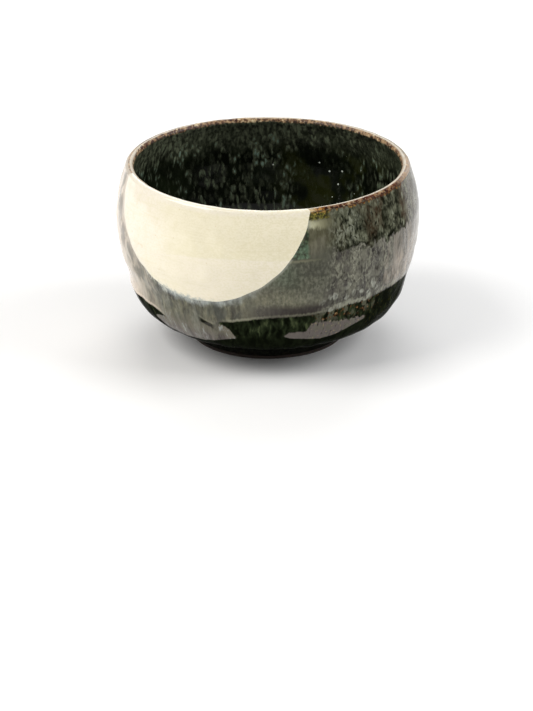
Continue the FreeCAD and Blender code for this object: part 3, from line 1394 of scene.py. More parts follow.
        base.lay(self.pale_glaze_and_reflection, lighter * (0.08 + thread.rise(0.42, 0.62) * 0.16))
        # Darker low at the right of the veil: painted dark reflection
        low = height.rise(36.5, 32.5) * azimuth.rise(-14.0, 6.0)
        base.lay(self.veil_dark_reflection, low * (0.93 + fine.rise(0.6, 0.4) * 0.07))
        left_low = azimuth.rise(-16.0, -26.0) * (height + streak.swing(12.0)).rise(28.0, 22.0)
        base.lay(self.left_tongue_reflection(wall), left_low * 0.95)
        rough_edge = fine.swing(3.0)
        field = ((azimuth + rough_edge).rise(10.0, 13.0)
                 * (height + rough_edge * 0.5).rise(53.4, 54.8))
        base.lay(self.painted_reflection_field(wall, thread, rough_edge), field)
        return base

    def painted_reflection_field(self, wall: Wall, thread: Value, rough_edge: Value) -> Coat:
        """The smooth field between the disc and the panel, a painted reflection brightest in a band
        below the rim.

        Args:
            wall: The place on the wall.
            thread: The veil's threads.
            rough_edge: How far its edges wander.

        Returns:
            The field's colour.
        """
        azimuth, height = wall.azimuth, wall.height
        base = wall.shade.mix(self.smooth, self.veil_light,
                              height.rise(60.0, 68.0) * 0.20 + thread.rise(0.4, 0.62) * 0.5)
        # A brighter band of the painted reflection, and a painted glint next to the disc
        band = (height + rough_edge + wall.broad.swing(4.0)).within(66.9, 69.8, 1.1)
        base.lay(self.pale_glaze_and_reflection, band * (0.25 + azimuth.rise(24.0, 16.0) * 0.55))
        base.lay(self.painted_field_glint, band * azimuth.rise(22.0, 16.0) * (0.25 + wall.fine.swing(0.8)))
        base.lay(self.moss, (height - (azimuth - 18.0) * 0.4).rise(61.0, 54.0) * 0.75)
        return base

    def painted_limb_reflections(self, base: Coat, wall: Wall) -> None:
        """Lays a pale painted reflection round both sides of the wall.

        Args:
            base: The wall's colour, which changes.
            wall: The place on the wall.
        """
        shade, azimuth, height = wall.shade, wall.azimuth, wall.height
        soft = wall.noise(0.16, 3.4)
        left = (azimuth + soft.swing(30.0)).rise(-44.0, -82.0)
        left = left * (azimuth + soft.swing(50.0)).rise(-114.0, -90.0)
        pale = shade.mix(self.limb_reflection_back, self.limb_reflection,
                         (azimuth + soft.swing(16.0)).rise(-103.0, -91.0))
        thread = soft.rise(0.36, 0.60).swing(0.35) + wall.fine.swing(0.45) + wall.streak.swing(0.5)
        thick = 0.86 - height.rise(56.0, 66.0) * 0.09 + height.rise(42.0, 33.0) * 0.10
        base.lay(pale, left * (thick + thread * (1.35 - left)))
        # The right side's painted reflection is weaker, with curled streaks
        right = (azimuth + soft.swing(22.0)).rise(52.0, 74.0) * azimuth.rise(118.0, 104.0)
        curl = shade.noise(shade.tall(shade.warp(wall.flow, 9.0, 4.5), 0.22), 3.2)
        drawn = azimuth.within(50.0, 90.0, 9.0) * height.within(33.0, 47.0, 4.0)
        base.lay(self.limb_reflection, drawn * curl.rise(0.47, 0.62) * 0.20)
        lower = height.rise(60.0, 46.0)
        base.lay(self.limb_reflection, right * (0.02 + lower * 0.08) * (0.4 + soft.rise(0.4, 0.6) * 1.2))

    def edge_colour(self, base: Coat, wall: Wall) -> None:
        """Lays what the two glazes do where they meet round the disc.

        Args:
            base: The wall's colour, which changes.
            wall: The place on the wall.
        """
        azimuth, height, over = wall.azimuth, wall.height, wall.over
        fine, grain = wall.fine, wall.grain
        left = azimuth.rise(2.0, -14.0)
        wide = wall.noise(0.16, 3.2)
        cloud = wall.noise(0.6, 4.2, 3.0, 0.55)
        feather = wide.swing(6.0) + cloud.swing(6.0)
        deep = (over + feather * 0.8 + wall.broad.swing(7.0)).within(-8.0, -1.6, 2.2) * left
        base.lay(self.halo_deep, deep * (0.02 + cloud.rise(0.56, 0.44) * 0.62 + fine.swing(0.3)))
        reach = (over + feather).within(-15.0, -1.5, 3.0) * azimuth.rise(-20.0, -32.0)
        base.lay(self.halo_streak, wide.rise(0.44, 0.64) * reach * (0.30 + fine.swing(0.9)))
        near = (over + feather * 0.35 + fine.swing(1.2)).rise(-2.8, -0.1) * left
        near = near * (0.15 + azimuth.rise(-50.0, -38.0) * 0.85)
        base.lay(self.halo, near * (0.30 + cloud.rise(0.40, 0.56) * 0.40 + fine.swing(0.6)))
        fingers = (over + fine.swing(7.0) + wide.swing(5.0)).rise(-0.9, 0.6)
        base.lay(self.finger, fingers * azimuth.within(-54.0, -28.0, 6.0) * 0.6)
        base.lay(self.halo_streak, (over + fine.swing(0.8)).rise(-1.0, -0.1) * (1.0 - left) * 0.75)
        green = wall.shade.mix(self.moss, self.teal,
                               (grain * 0.5 + wall.broad * 0.5).rise(0.36, 0.56))
        clouded = (cloud * 0.6 + grain * 0.4).rise(0.44, 0.60)
        green.lay(self.teal_pale, clouded * height.rise(64.0, 58.0) * 0.6)
        grained = (grain * 0.5 + fine * 0.5).rise(0.50, 0.60)
        green.lay(self.olive, grained * height.rise(60.0, 65.0) * 0.5)
        # A pale line at the wedge's foot: painted glint, the same line as across the disc
        step = (height + fine.swing(1.2)).within(54.0, 54.6, 0.6) * azimuth.within(-3.0, 17.0, 6.0)
        base.lay(self.pale_glaze_and_reflection, step * 0.38)
        base.lay(green, self.wedge(wall) * 0.92)

    def foot_band(self, base: Coat, wall: Wall, drop: Value, reflection_tongues: Value) -> None:
        """Lays the dark streaked band between the veil's hem and the foot, and the hem itself.

        Args:
            base: The wall's colour.
            wall: The place on the wall.
            drop: The share of a drop.
            reflection_tongues: The share of the tongues of painted reflection.
        """
        shade, azimuth, streak = wall.shade, wall.azimuth, wall.streak
        hem, fine, grain = wall.hem, wall.fine, wall.grain
        slant = shade.noise(shade.tall(shade.warp(wall.flow, 6.0, 2.0), 0.3), 2.1)
        upper = wall.height.rise(17.5, 23.0)
        end = azimuth.within(44.0, 96.0, 8.0)
        band = shade.mix(self.night, self.moss,
                         slant.rise(0.40, 0.62) * (0.28 + upper * 0.72) * (1.0 - end * 0.75))
        band.lay(self.olive, (grain * 0.5 + fine * 0.5).rise(0.54, 0.64) * end * 0.12)
        sedgy = slant.rise(0.56, 0.68) * streak.rise(0.42, 0.56)
        band.lay(self.sedge, sedgy * upper * (0.9 - end * 0.6))
        right = ((azimuth + fine.swing(8.0)).within(19.0, 48.0, 4.0)
                 + azimuth.within(96.0, 150.0, 6.0))
        near = (hem + streak.swing(4.0)).rise(-8.0, -2.0) * right
        dropped = drop.rise(0.28, 0.50)
        band.lay(self.lit_cell, dropped * near * 0.9)
        band.lay(self.rust, grain.rise(0.56, 0.62) * near * 0.85)
        band.lay(self.amber, grain.rise(0.63, 0.70) * near * 0.8)
        # The tongues: painted reflection, with drops and specks drawn in it
        pale = shade.mix(self.tongue_reflection, self.tongue_reflection_pale, 0.25 + wall.broad * 0.5 + fine.swing(0.6))
        pale.lay(self.left_tongue_reflection(wall), azimuth.rise(0.0, -10.0))
        tongue = azimuth.rise(14.0, 19.0)
        pale.lay(self.lit_cell, dropped * tongue * 0.55)
        pale.lay(self.amber, (grain + fine.swing(0.3)).rise(0.60, 0.70) * tongue * 0.55)
        pale.lay(self.night, (grain * 0.6 + fine * 0.4).rise(0.44, 0.36) * tongue * 0.7)
        band.lay(pale, reflection_tongues)
        ledge = (hem + grain.swing(4.0)).within(0.1, 2.2, 0.9) * azimuth.within(22.0, 170.0, 3.0)
        uneven = (fine * 0.5 + wall.broad * 0.5).rise(0.42, 0.6)
        base.lay(self.lit_drop, ledge * (0.1 + uneven * 0.7))
        slit, rim = self.slit(wall)
        base.lay(self.hem_line, rim * 0.25)
        base.lay(self.night, slit * 0.95)
        ragged = azimuth.rise(18.0, 28.0)
        wander = fine.swing(2.4) * ragged + drop.swing(1.8) * ragged
        base.lay(band, (hem + wander).rise(0.15, -0.45))
        # A line of the pale painted side reflection along the hem at the left
        base.lay(self.limb_reflection, hem.within(0.2, 1.0, 0.5) * azimuth.within(-96.0, -50.0, 5.0) * 0.5)
        line = hem.within(0.1, 0.9, 0.6) * azimuth.within(-17.0, 22.0, 3.0)
        base.lay(self.hem_line, line * (0.16 + azimuth.rise(6.0, -10.0) * 0.46
                                        + wall.broad.rise(0.4, 0.6) * 0.2 + fine.swing(0.5)))

    def wedge(self, wall: Wall) -> Value:
        """The thick dark green wedge at the disc's right edge."""
        turn, height = wall.azimuth + wall.fine.swing(1.6), wall.height + wall.fine.swing(1.0)
        return turn.within(-3.0, 15.0, 0.5) * height.within(55.2, 67.0, 0.4)

    def slit(self, wall: Wall) -> tuple[Value, Value]:
        """A dark slit that the glaze left open beside the left tongue, and its pale upper rim.

        Args:
            wall: The place on the wall.

        Returns:
            Shares of the slit and of its rim.
        """
        off = wall.height - (25.6 - (wall.azimuth + 28.2) * 0.42 + wall.fine.swing(0.8))
        line = abs(off).rise(1.15, 0.60) * wall.azimuth.within(-28.0, -22.4, 0.8)
        rim = abs(off - 1.5).rise(0.7, 0.1) * wall.azimuth.within(-28.6, -22.0, 1.0)
        return line, rim

    def left_tongue_reflection(self, wall: Wall) -> Coat:
        """Colour of the left tongue, a painted reflection softly streaked like the veil.

        Args:
            wall: The place on the wall.

        Returns:
            The tongue's colour.
        """
        soft, mixed = wall.noise(0.2, 3.0), wall.fine * 0.5 + wall.streak * 0.5
        base = wall.shade.mix(self.tongue_reflection, self.tongue_reflection_pale, 0.35 + soft.rise(0.42, 0.60) * 0.6)
        base.lay(self.moss, (soft * 0.5 + wall.fine * 0.5).rise(0.48, 0.38) * 0.4)
        base.lay(self.veil, mixed.rise(0.46, 0.38) * 0.3)
        upper = (wall.height + soft.swing(10.0)).rise(17.0, 21.5)
        base.lay(self.veil_light, upper * 0.45)
        threads = mixed.rise(0.52, 0.60) * soft.rise(0.44, 0.56)
        base.lay(self.halo, threads * (0.32 + upper * 0.25))
        return base

    def reflection_tongues(self, wall: Wall) -> Value:
        """Where two pale tongues of painted reflection reach into the dark band.

        Args:
            wall: The place on the wall.

        Returns:
            Their share.
        """
        azimuth, height = wall.azimuth, wall.height
        low, top = wall.shade.curve(azimuth, TONGUE_LOW), wall.shade.curve(azimuth, TONGUE_TOP)
        wander = wall.fine.swing(1.2)
        frayed = wall.grain.swing(5.0) * azimuth.rise(14.0, 20.0)
        inside = ((height + wander * 0.4 - low).rise(-0.3, 0.3)
                  * (top - height + wander + frayed).rise(-0.4, 0.4))
        return inside * (azimuth.within(-54.6, -13.4, 0.5) + azimuth.within(6.8, 43.0, 0.6))

    def rim_colour(self, base: Coat, wall: Wall) -> None:
        """Lays the ochre patch beside the disc, and the brown that frays down from the lip.

        Args:
            base: The wall's colour, which changes.
            wall: The place on the wall.
        """
        shade, azimuth, height = wall.shade, wall.azimuth, wall.height
        grain = shade.noise(shade.place, 1.3)
        mottle = shade.noise(shade.place, 0.8, 3.0, 0.6)
        rough_edge = grain.swing(1.6)
        patch = (azimuth + rough_edge * 1.6).within(13.0, 24.0, 0.8)
        spots = (mottle * 0.5 + grain * 0.5 + (height - self.frayed_rim) * 0.10).rise(0.50, 0.58)
        speckled = shade.mix(self.olive_dark, self.olive,
                             mottle.rise(0.42, 0.58) * (1.0 - azimuth.rise(19.0, 24.0) * 0.5))
        speckled.lay(self.ochre, spots * 0.75)
        base.lay(speckled, patch * (height + rough_edge).rise(69.5, 70.3))
        brown = shade.mix(self.rim_brown, self.ochre, grain.rise(0.56, 0.66) * 0.5)
        frayed = (height + rough_edge * 2.2).rise(self.frayed_rim, 72.8)
        base.lay(brown, frayed * azimuth.within(13.0, 68.0, 4.0) * 0.8)


@dataclass(frozen=True)
class LipGlaze:
    """The lip, where the glaze runs thin and breaks to buff and iron brown."""

    crest: str = "C6BEAC"
    buff: str = "A98863"
    brown: str = "502818"
    char: str = "170F09"
    chalk: str = "E0CEA6"
    gold: str = "BE8432"
    outer: str = "5B5E4B"
    outer_dark: str = "25261B"
    worn: str = "B0A498"
    pale: str = "D6CEC0"
    mist: str = "8E9080"
    relief: float = 0.12
    ior: float = 1.4
    matt_ior: float = 1.03

    def material(self, form: BowlForm) -> bpy.types.Material:
        """Writes the finish.

        Args:
            form: The bowl's section.

        Returns:
            The material.
        """
        shade = Shade("lip_glaze")
        place, azimuth = shade.place, shade.azimuth()
        outward = shade.radius() - form.lip_centre[0] / MM
        speck = shade.cells(shade.warp(place, 1.7, 0.7), 2.0).rise(0.66, 0.40)
        fine = shade.noise(place, 1.1, 2.0)
        broad = shade.noise(place, 7.0)
        front = azimuth.within(8.0, 74.0, 8.0)
        left_back = azimuth.within(-168.0, -104.0, 10.0)
        right_back = azimuth.within(98.0, 165.0, 10.0)
        back = 1.0 - azimuth.within(-150.0, 150.0, 14.0)
        sides = 1.0 - azimuth.within(-72.0, 68.0, 8.0)
        browned = (speck * 0.75 + front * (0.25 + fine * 0.5)
                   + left_back * broad.rise(0.35, 0.55) * 0.55)
        base = shade.mix(self.buff, self.brown, browned.at_most(1.0))
        chalky = fine.rise(0.54, 0.62) * (0.25 + broad.rise(0.42, 0.60) * 0.7)
        base.lay(self.chalk, chalky * (1.0 - front * 0.6))
        beads = shade.cells(shade.warp(place, 1.5, 0.5), 2.0).rise(0.50, 0.30)
        charred = fine.rise(0.44, 0.36) + beads * shade.z.rise(73.9, 73.2)
        base.lay(self.char, charred.at_most(1.0) * 0.8)
        mottled = shade.mix(self.worn, self.buff,
                            fine.rise(0.45, 0.6) * (0.15 + azimuth.rise(0.0, 40.0) * 0.6))
        mottled.lay(self.pale, azimuth.within(-160.0, -64.0, 10.0) * 0.75)
        base.lay(mottled, outward.rise(0.2, 0.8) * sides * (1.0 - back) * 0.9)
        base.lay(self.gold, azimuth.within(10.0, 22.5, 3.0) * fine.rise(0.46, 0.58) * 0.65)
        ragged = outward + fine.swing(0.9)
        base.lay(self.chalk, azimuth.within(10.0, 18.5, 1.5) * ragged.rise(0.1, 0.5) * 0.6)
        narrow = left_back * (0.65 + broad.swing(1.2)) + right_back * 0.45
        crest = (outward + fine.swing(0.9) * 0.6 + sides * (1.0 - back) * 0.35).within(
            back * 0.2 + narrow - 0.95, 0.25, 0.3)
        base.lay(shade.mix(self.crest, self.buff, fine.rise(0.52, 0.66) * 0.5), crest)
        base.lay(self.mist, ragged.rise(-0.4, 0.3) * (right_back + left_back * 0.2) * 0.6)
        green = shade.mix(self.outer_dark, self.outer, fine.rise(0.38, 0.6))
        base.lay(green, ragged.rise(1.45, 1.7) * (1.0 - sides))
        lowered = shade.z + fine.swing(1.6) + broad.swing(1.6)
        base.lay(InnerGlaze().colours(shade)[0], lowered.rise(73.1, 72.5) * outward.rise(1.0, 0.5))
        sheen = 1.0 - outward.rise(0.15, 0.5) * front * 0.85
        relief = shade.bump(speck * 0.5 + fine * 0.4, self.relief)
        return shade.finish(base, 0.30 + fine * 0.2, relief, sheen, self.matt_ior, IOR=self.ior)


@dataclass(frozen=True)
class InnerGlaze:
    """The inside: near-black green with long soft drops, blue-green cores and olive clouds."""

    night: str = "080B05"
    moss: str = "151B0F"
    grey: str = "6F755F"
    spot: str = "65755E"
    core: str = "8CA898"
    olive: str = "222506"
    painted_spark_glint: str = "D5DDD2"
    relief: float = 0.16
    ior: float = 1.45

    def colours(self, shade: Shade) -> tuple[Coat, Value]:
        """Colour of the inside at the shader's place, and the relief of its drops.

        Args:
            shade: The shader to write in.

        Returns:
            The colour and the relief.
        """
        place, azimuth, height = shade.place, shade.azimuth(), shade.z
        flow = shade.meridians(50.0)
        drop = shade.cells(shade.warp(shade.warp(shade.tall(flow, 0.42), 2.0, 0.9), 6.0, 1.4), 1.6)
        fine = shade.noise(shade.tall(flow, 0.5), 0.9, 4.0, 0.65)
        cloud = shade.noise(shade.tall(flow, 0.7), 10.0)
        thick = shade.noise(shade.tall(flow, 0.35), 3.6, 3.0, 0.55)
        top = (height + cloud.swing(12.0) + thick.swing(8.0)).rise(56.0, 66.0)
        weight = shade.curve(azimuth, INNER_DROPS).at_least(
            top * (0.95 - azimuth.within(104.0, 166.0, 8.0) * 0.4))
        wall_share = height.rise(15.0, 27.0)
        weight = weight * (0.15 + wall_share * 0.85)
        base = shade.mix(self.night, self.moss, cloud.rise(0.35, 0.65))
        olive = cloud.rise(0.46, 0.58) * azimuth.within(104.0, 174.0, 8.0) * height.rise(66.0, 54.0)
        base.lay(self.olive, olive * 0.9)
        body = drop.rise(0.66, 0.28) * (0.30 + fine.rise(0.36, 0.58) * 0.70)
        body = body * (0.25 + top * 0.25 + thick.rise(0.45, 0.55) * 0.85)
        lit = fine.rise(0.4, 0.6)
        base.lay(self.grey, (body + top * (0.14 + lit * 0.36)) * weight)
        mark = drop.rise(0.46, 0.16) * thick.rise(0.47, 0.56) * (0.3 + lit * 0.7)
        base.lay(self.spot, mark * weight * (1.0 - top * 0.4))
        teal = drop.rise(0.36, 0.14) * cloud.rise(0.45, 0.53) * thick.rise(0.47, 0.54)
        base.lay(self.core, teal * weight * height.rise(70.0, 60.0))
        specks = shade.cells(shade.warp(place, 1.5, 0.5), 1.8).rise(0.48, 0.28)
        base.lay(self.night, specks * height.rise(66.0, 71.0) * 0.75)
        flecks = shade.cells(shade.warp(place, 2.0, 0.8), 2.2).rise(0.5, 0.2)
        flecks = flecks * shade.noise(place, 5.0).rise(0.45, 0.6)
        base.lay(self.spot, flecks * (1.0 - wall_share) * 0.4)
        return base, (mark * 0.5 + body * 0.3) * wall_share + flecks * (1.0 - wall_share) * 0.2

    def material(self) -> bpy.types.Material:
        """Writes the finish.

        Returns:
            The material.
        """
        shade = Shade("inner_glaze")
        place = shade.place
        base, raised = self.colours(shade)
        # Small white painted glints on the far inner wall
        painted_glints = shade.cells(shade.tall(place, 1.1), 6.0).rise(0.085, 0.060)
        painted_glints = painted_glints * shade.z.rise(66.0, 60.0)
        base.lay(self.painted_spark_glint, painted_glints * shade.azimuth().within(130.0, 185.0, 4.0))
        ring = shade.noise(shade.stretch(place, (0.05, 0.05, 1.0)), 2.4, 2.0)
        relief = shade.bump(raised + ring * 0.35, self.relief)
        return shade.finish(base, 0.10 + shade.noise(place, 1.0) * 0.08, relief, IOR=self.ior)


@dataclass(frozen=True)
class PoolGlaze:
    """The thick glassy pool in the tea well."""

    deep: str = "0B120E"
    blue: str = "1D3330"
    relief: float = 0.05
    ior: float = 1.6

    def material(self) -> bpy.types.Material:
        """Writes the finish.

        Returns:
            The material.
        """
        shade = Shade("pool_glaze")
        cloud = shade.noise(shade.place, 6.0)
        fleck = shade.cells(shade.warp(shade.place, 2.0, 0.6), 2.4).rise(0.35, 0.1)
        base = shade.mix(self.deep, self.blue, cloud.rise(0.4, 0.75) * 0.7 + fleck * 0.3)
        return shade.finish(base, 0.06 + cloud * 0.04, shade.bump(cloud, self.relief), IOR=self.ior)


@dataclass(frozen=True)
class FootGlaze:
    """Thin dark glaze on the foot's wall, mottled where it hardly covers the clay."""

    dark: str = "060704"
    olive: str = "22241A"
    rust: str = "201710"
    relief: float = 0.12
    ior: float = 1.12

    def material(self) -> bpy.types.Material:
        """Writes the finish.

        Returns:
            The material.
        """
        shade = Shade("foot_glaze")
        grain = shade.noise(shade.place, 0.9, 4.0, 0.65)
        base = shade.mix(self.dark, self.olive, grain.rise(0.45, 0.65) * 0.8)
        base.lay(self.rust, shade.noise(shade.place, 4.0).rise(0.5, 0.7) * shade.z.rise(4.0, 1.8))
        return shade.finish(base, 0.25 + grain * 0.2, shade.bump(grain, self.relief), IOR=self.ior)


@dataclass(frozen=True)
class BareClay:
    """Fired iron-rich stoneware with no glaze: sandy, with specks and turning lines."""

    name: str
    body: str = "5A4534"
    light: str = "765C46"
    toast: str = "442F21"
    speck: str = "22160F"
    groove: float = 1.5
    relief: float = 0.12

    def material(self) -> bpy.types.Material:
        """Writes the finish.

        Returns:
            The material.
        """
        shade = Shade(self.name)
        place = shade.place
        sand = shade.noise(place, 0.45, 3.0, 0.7)
        along = shade.radius() + shade.z + shade.noise(place, 14.0, 2.0) * 1.4
        turned = shade.math("SINE", along * (TURN / self.groove)) * 0.5 + 0.5
        base = shade.mix(self.body, self.light, sand.rise(0.35, 0.7))
        base.lay(self.toast, shade.noise(place, 9.0).rise(0.45, 0.75) * 0.6)
        base.lay(self.speck, shade.cells(place, 2.1).rise(0.13, 0.05) * 0.8)
        base.lay(self.toast, turned.rise(0.75, 1.0) * 0.25)
        relief = shade.bump(sand * 0.5 + turned * 0.4, self.relief)
        return shade.finish(base, 0.82 + sand * 0.1, relief)


# The bowl's pieces


@dataclass(frozen=True)
class Outside:
    """The coats of the outside: the green glaze, the cream disc and the lip."""

    form: BowlForm
    dip: DipLevel
    relief: ThrownRelief
    spinner: Spinner

    def green(self) -> bpy.types.Object:
        """The green coat, cut out round the disc.

        Returns:
            The piece.
        """
        form = self.form
        mesh = self.spinner.coat(form.outside(0.0), form.outside(form.glaze), self.relief.outside)
        keep_side(mesh, form, self.dip, Cut.UNDIPPED)
        return add_piece("green_coat", mesh, "green_glaze", GreenGlaze().material(form, self.dip),
                         "outer_green_glaze")

    def moon(self) -> bpy.types.Object:
        """The cream disc, up over the outer part of the lip.

        Returns:
            The piece.
        """
        form = self.form
        front, back = (join(form.outside(depth), form.crest(depth)) for depth in (0.0, form.glaze))
        mesh = self.spinner.coat(front, back, self.relief.outside)
        keep_side(mesh, form, self.dip, Cut.DIPPED)
        return add_piece("cream_disc", mesh, "cream_glaze", CreamGlaze().material(form, self.dip),
                         "moon_glaze")

    def lip(self) -> bpy.types.Object:
        """The lip's band: its crest where the disc leaves it, and its inner part all round.

        Returns:
            The piece.
        """
        form = self.form
        crest = self.spinner.coat(form.crest(0.0), form.crest(form.glaze), self.relief.outside)
        keep_side(crest, form, self.dip, Cut.UNDIPPED)
        inner = self.spinner.coat(form.lip_inside(0.0), form.lip_inside(form.glaze),
                                  self.edge_relief)
        spare = bpy.data.meshes.new("lip_part")
        crest.to_mesh(spare)
        crest.free()
        inner.from_mesh(spare)
        bpy.data.meshes.remove(spare)
        return add_piece("lip_band", inner, "lip_glaze", LipGlaze().material(form), "lip_glaze")

    def edge_relief(self, azimuth: np.ndarray, radius: np.ndarray,
                    height: np.ndarray) -> np.ndarray:
        """Goes from the outer relief at the crest to the inner one at the band's end.

        Args:
            azimuth: Angles round the bowl.
            radius: Distances from the axis.
            height: Heights above the foot.

        Returns:
            Height of the relief in metres.
        """
        top = self.form.height
        share = np.clip((top - height) / (top - self.form.lip_band_end), 0.0, 1.0)
        return ((1.0 - share) * self.relief.outside(azimuth, radius, height)
                + share * self.relief.inside(azimuth, radius, height))


@dataclass(frozen=True)
class Inside:
    """The coats of the inside: the dark glaze and the pool in the tea well."""

    form: BowlForm
    relief: ThrownRelief
    spinner: Spinner
    well_depth: float = 1.8 * MM
    well_slope: float = 3.4 * MM
    pool_dip: float = 0.8 * MM

    def coat(self) -> bpy.types.Object:
        """The dark coat from the lip's band to the well.

        Returns:
            The piece.
        """
        form = self.form
        mesh = self.spinner.coat(form.inside(0.0), form.inside(form.glaze), self.relief.inside)
        return add_piece("inner_coat", mesh, "inner_glaze", InnerGlaze().material(),
                         "inner_green_glaze")

    def pool(self) -> bpy.types.Object:
        """The pool of glaze, with a soft meniscus up to the floor.

        Returns:
            The piece.
        """
        form, step = self.form, self.form.step
        floor, clay = form.floor_height, form.floor_height - form.glaze
        level, bottom = floor - self.pool_dip, clay - self.well_depth
        shore = form.well_radius - self.well_slope / 2.0
        bed = form.well_radius - self.well_slope
        rows = np.concatenate([
            sweep_line((0.0, level), (shore, level), step * 2.0),
            sweep_line((shore, level), (form.well_radius, floor), step)[1:],
            sweep_line((form.well_radius, clay), (bed, bottom), step * 2.0),
            sweep_line((bed, bottom), (0.0, bottom), step * 4.0)[1:]])
        return add_piece("tea_pool", self.spinner.mesh(rows), "pool_glaze",
                         PoolGlaze().material(), "tea_pool_glaze")


@dataclass(frozen=True)
class Body:
    """The clay: the thrown body, the turned foot ring and the glaze on the foot."""

    form: BowlForm
    inside: Inside
    spinner: Spinner
    foot_width: float = 5.4 * MM
    foot_draft: float = 0.9 * MM
    foot_bevel: float = 0.8 * MM
    bare_band: float = 1.6 * MM
    gather: float = 1.5 * MM
    turning_depth: float = 0.09 * MM
    turning_pitch: float = 1.9 * MM

    @property
    def underside(self) -> float:
        """Height of the clay where the foot ring joins it."""
        return self.form.foot_height + self.form.glaze

    def turning(self, azimuth: np.ndarray, radius: np.ndarray, height: np.ndarray) -> np.ndarray:
        """The spiral that the turning tool leaves."""
        return self.turning_depth * np.cos(TURN * (radius + height) / self.turning_pitch + azimuth)

    def clay(self) -> bpy.types.Object:
        """The thrown wall and floor under the coats.

        Returns:
            The piece.
        """
        form, step = self.form, self.form.step * 2.0
        floor = form.floor_height - form.glaze
        bed = form.well_radius - self.inside.well_slope
        depth = self.inside.well_depth
        underside = sweep_line((0.0, self.underside), (form.foot_radius, self.underside), form.step)
        rest = join(form.outside(form.glaze)[::2], form.crest(form.glaze),
                    form.lip_inside(form.glaze), form.inside(form.glaze)[::2],
                    sweep_line((form.well_radius, floor), (bed, floor - depth), step),
                    sweep_line((bed, floor - depth), (0.0, floor - depth), step * 2.0))
        mesh = self.spinner.mesh(np.concatenate([underside, rest[1:]]), self.turning,
                                 len(underside) - 1)
        return add_piece("clay_wall", mesh, "clay", BareClay("clay").material(), "clay_body")

    def ring(self) -> bpy.types.Object:
        """The turned foot ring.

        Returns:
            The piece.
        """
        outer = self.form.foot_radius
        inner = outer - self.foot_width
        bevel, step = self.foot_bevel, self.form.step / 2.0
        corners = [(outer, self.underside), (outer, bevel), (outer - bevel, 0.0),
                   (inner + bevel, 0.0), (inner, bevel),
                   (inner - self.foot_draft, self.underside), (outer, self.underside)]
        mesh = self.spinner.mesh(sweep_corners(corners, step))
        # Darker clay on the foot ring than on the wall: painted shade
        clay = BareClay("foot_clay", body="2F2620", light="43372D", toast="231A14")
        return add_piece("foot", mesh, "foot_clay", clay.material(), "foot_ring")

    def foot_glaze(self) -> bpy.types.Object:
        """The thin glaze on the foot's outer wall.

        Returns:
            The piece.
        """
        inner = self.form.foot_radius
        outer = inner + self.form.glaze
        top, step = self.form.foot_height, self.form.step / 2.0
        corners = [(inner, self.bare_band), (outer, self.bare_band + self.form.glaze),
                   (outer, top - self.gather), (outer + self.gather, top), (inner, top),
                   (inner, self.bare_band)]
        mesh = self.spinner.mesh(sweep_corners(corners, step))
        return add_piece("foot_coat", mesh, "foot_glaze", FootGlaze().material(), "foot_glaze")


# The studio


@dataclass(frozen=True)
class Softbox:
    """A large soft lamp that looks at the bowl."""

    name: str
    place: tuple[float, float, float]
    size: float
    watts: float
    tint: tuple[float, float, float] = (1.0, 1.0, 1.0)

    def build(self, target: Vector) -> bpy.types.Object:
        """Hangs the lamp and turns it to the bowl.

        Args:
            target: The point that it looks at.

        Returns:
            The lamp.
        """
        data = bpy.data.lights.new(self.name, "AREA")
        data.shape, data.size, data.energy, data.color = "SQUARE", self.size, self.watts, self.tint
        lamp = bpy.data.objects.new(self.name, data)
        lamp.location = self.place
        lamp.rotation_mode = "QUATERNION"
        lamp.rotation_quaternion = (target - Vector(self.place)).to_track_quat("-Z", "Y")
        bpy.context.scene.collection.objects.link(lamp)
        return lamp


@dataclass(frozen=True)
class Camera:
    """The photograph's camera, in the bowl's frame."""

    pitch: float = math.radians(24.095)
    distance: float = 987.73 * MM
    across: float = -0.518 * MM
    up: float = -11.772 * MM
    focal_pixels: float = 2343.0
    frame_height_pixels: float = 711.0
    sensor: float = 36.0

    def build(self) -> bpy.types.Object:
        """Places the camera.

        Returns:
            The camera.
        """
        data = bpy.data.cameras.new("camera")
        data.sensor_width = self.sensor
        data.lens = self.sensor * self.focal_pixels / self.frame_height_pixels
        camera = bpy.data.objects.new("camera", data)
        forward = Vector((0.0, math.cos(self.pitch), -math.sin(self.pitch)))
        upward = Vector((0.0, math.sin(self.pitch), math.cos(self.pitch)))
        camera.location = (forward * -self.distance + Vector((self.across, 0.0, 0.0))
                           + upward * self.up)
        camera.rotation_euler = (QUARTER - self.pitch, 0.0, 0.0)
        bpy.context.scene.collection.objects.link(camera)
        bpy.context.scene.camera = camera
        return camera


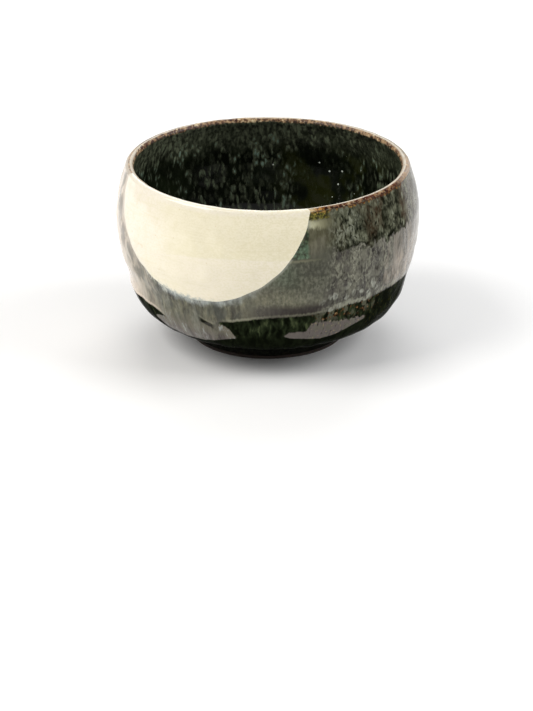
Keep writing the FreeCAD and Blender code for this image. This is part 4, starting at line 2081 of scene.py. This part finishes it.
@dataclass(frozen=True)
class Studio:
    """A wide pale floor, dim grey surroundings and soft lamps."""

    floor_radius: float = 4.0
    floor_tone: tuple[float, float, float, float] = (0.95, 0.95, 0.95, 1.0)
    floor_rough: float = 0.9
    floor_gloss: float = 0.1
    ambient: float = 0.30
    aim: tuple[float, float, float] = (0.0, 0.0, 0.04)
    lamps: tuple[Softbox, ...] = (
        Softbox("key_left", (-1.15, -0.35, 1.2), 1.1, 20.0, (1.0, 0.98, 0.95)),
        Softbox("fill_right", (1.25, -0.1, 0.9), 1.0, 14.0),
        Softbox("back", (0.1, 1.4, 1.2), 1.3, 15.0),
    )

    def build(self) -> None:
        """Builds floor, surroundings and lamps."""
        mesh = bmesh.new()
        bmesh.ops.create_circle(mesh, cap_ends=True, segments=96, radius=self.floor_radius)
        data = bpy.data.meshes.new("floor")
        mesh.to_mesh(data)
        mesh.free()
        floor = bpy.data.objects.new("floor", data)
        bpy.context.scene.collection.objects.link(floor)
        data.materials.append(self.floor_material())
        world = bpy.data.worlds.new("surroundings")
        world.use_nodes = True
        background = world.node_tree.nodes["Background"]
        background.inputs["Color"].default_value = (1.0, 1.0, 1.0, 1.0)
        background.inputs["Strength"].default_value = self.ambient
        bpy.context.scene.world = world
        for lamp in self.lamps:
            lamp.build(Vector(self.aim))

    def floor_material(self) -> bpy.types.Material:
        """A matt pale floor.

        Returns:
            The material.
        """
        material = bpy.data.materials.new("floor")
        material.use_nodes = True
        surface = material.node_tree.nodes["Principled BSDF"]
        surface.inputs["Base Color"].default_value = self.floor_tone
        surface.inputs["Roughness"].default_value = self.floor_rough
        surface.inputs["Specular IOR Level"].default_value = self.floor_gloss
        return material


def main() -> None:
    """Builds the studio and the bowl, piece by piece."""
    logging.basicConfig(level=logging.INFO, format="%(name)s %(message)s")
    bpy.context.scene.view_settings.view_transform = "Standard"
    Camera().build()
    Studio().build()
    form, dip, spinner = BowlForm.from_frame(), DipLevel(), Spinner(Hand())
    relief = ThrownRelief(form, dip)
    outside = Outside(form, dip, relief, spinner)
    inside = Inside(form, relief, spinner)
    body = Body(form, inside, spinner)
    for build in (body.clay, body.ring, body.foot_glaze, outside.green, outside.moon, outside.lip,
                  inside.coat, inside.pool):
        build()


if __name__ == "__main__":
    main()
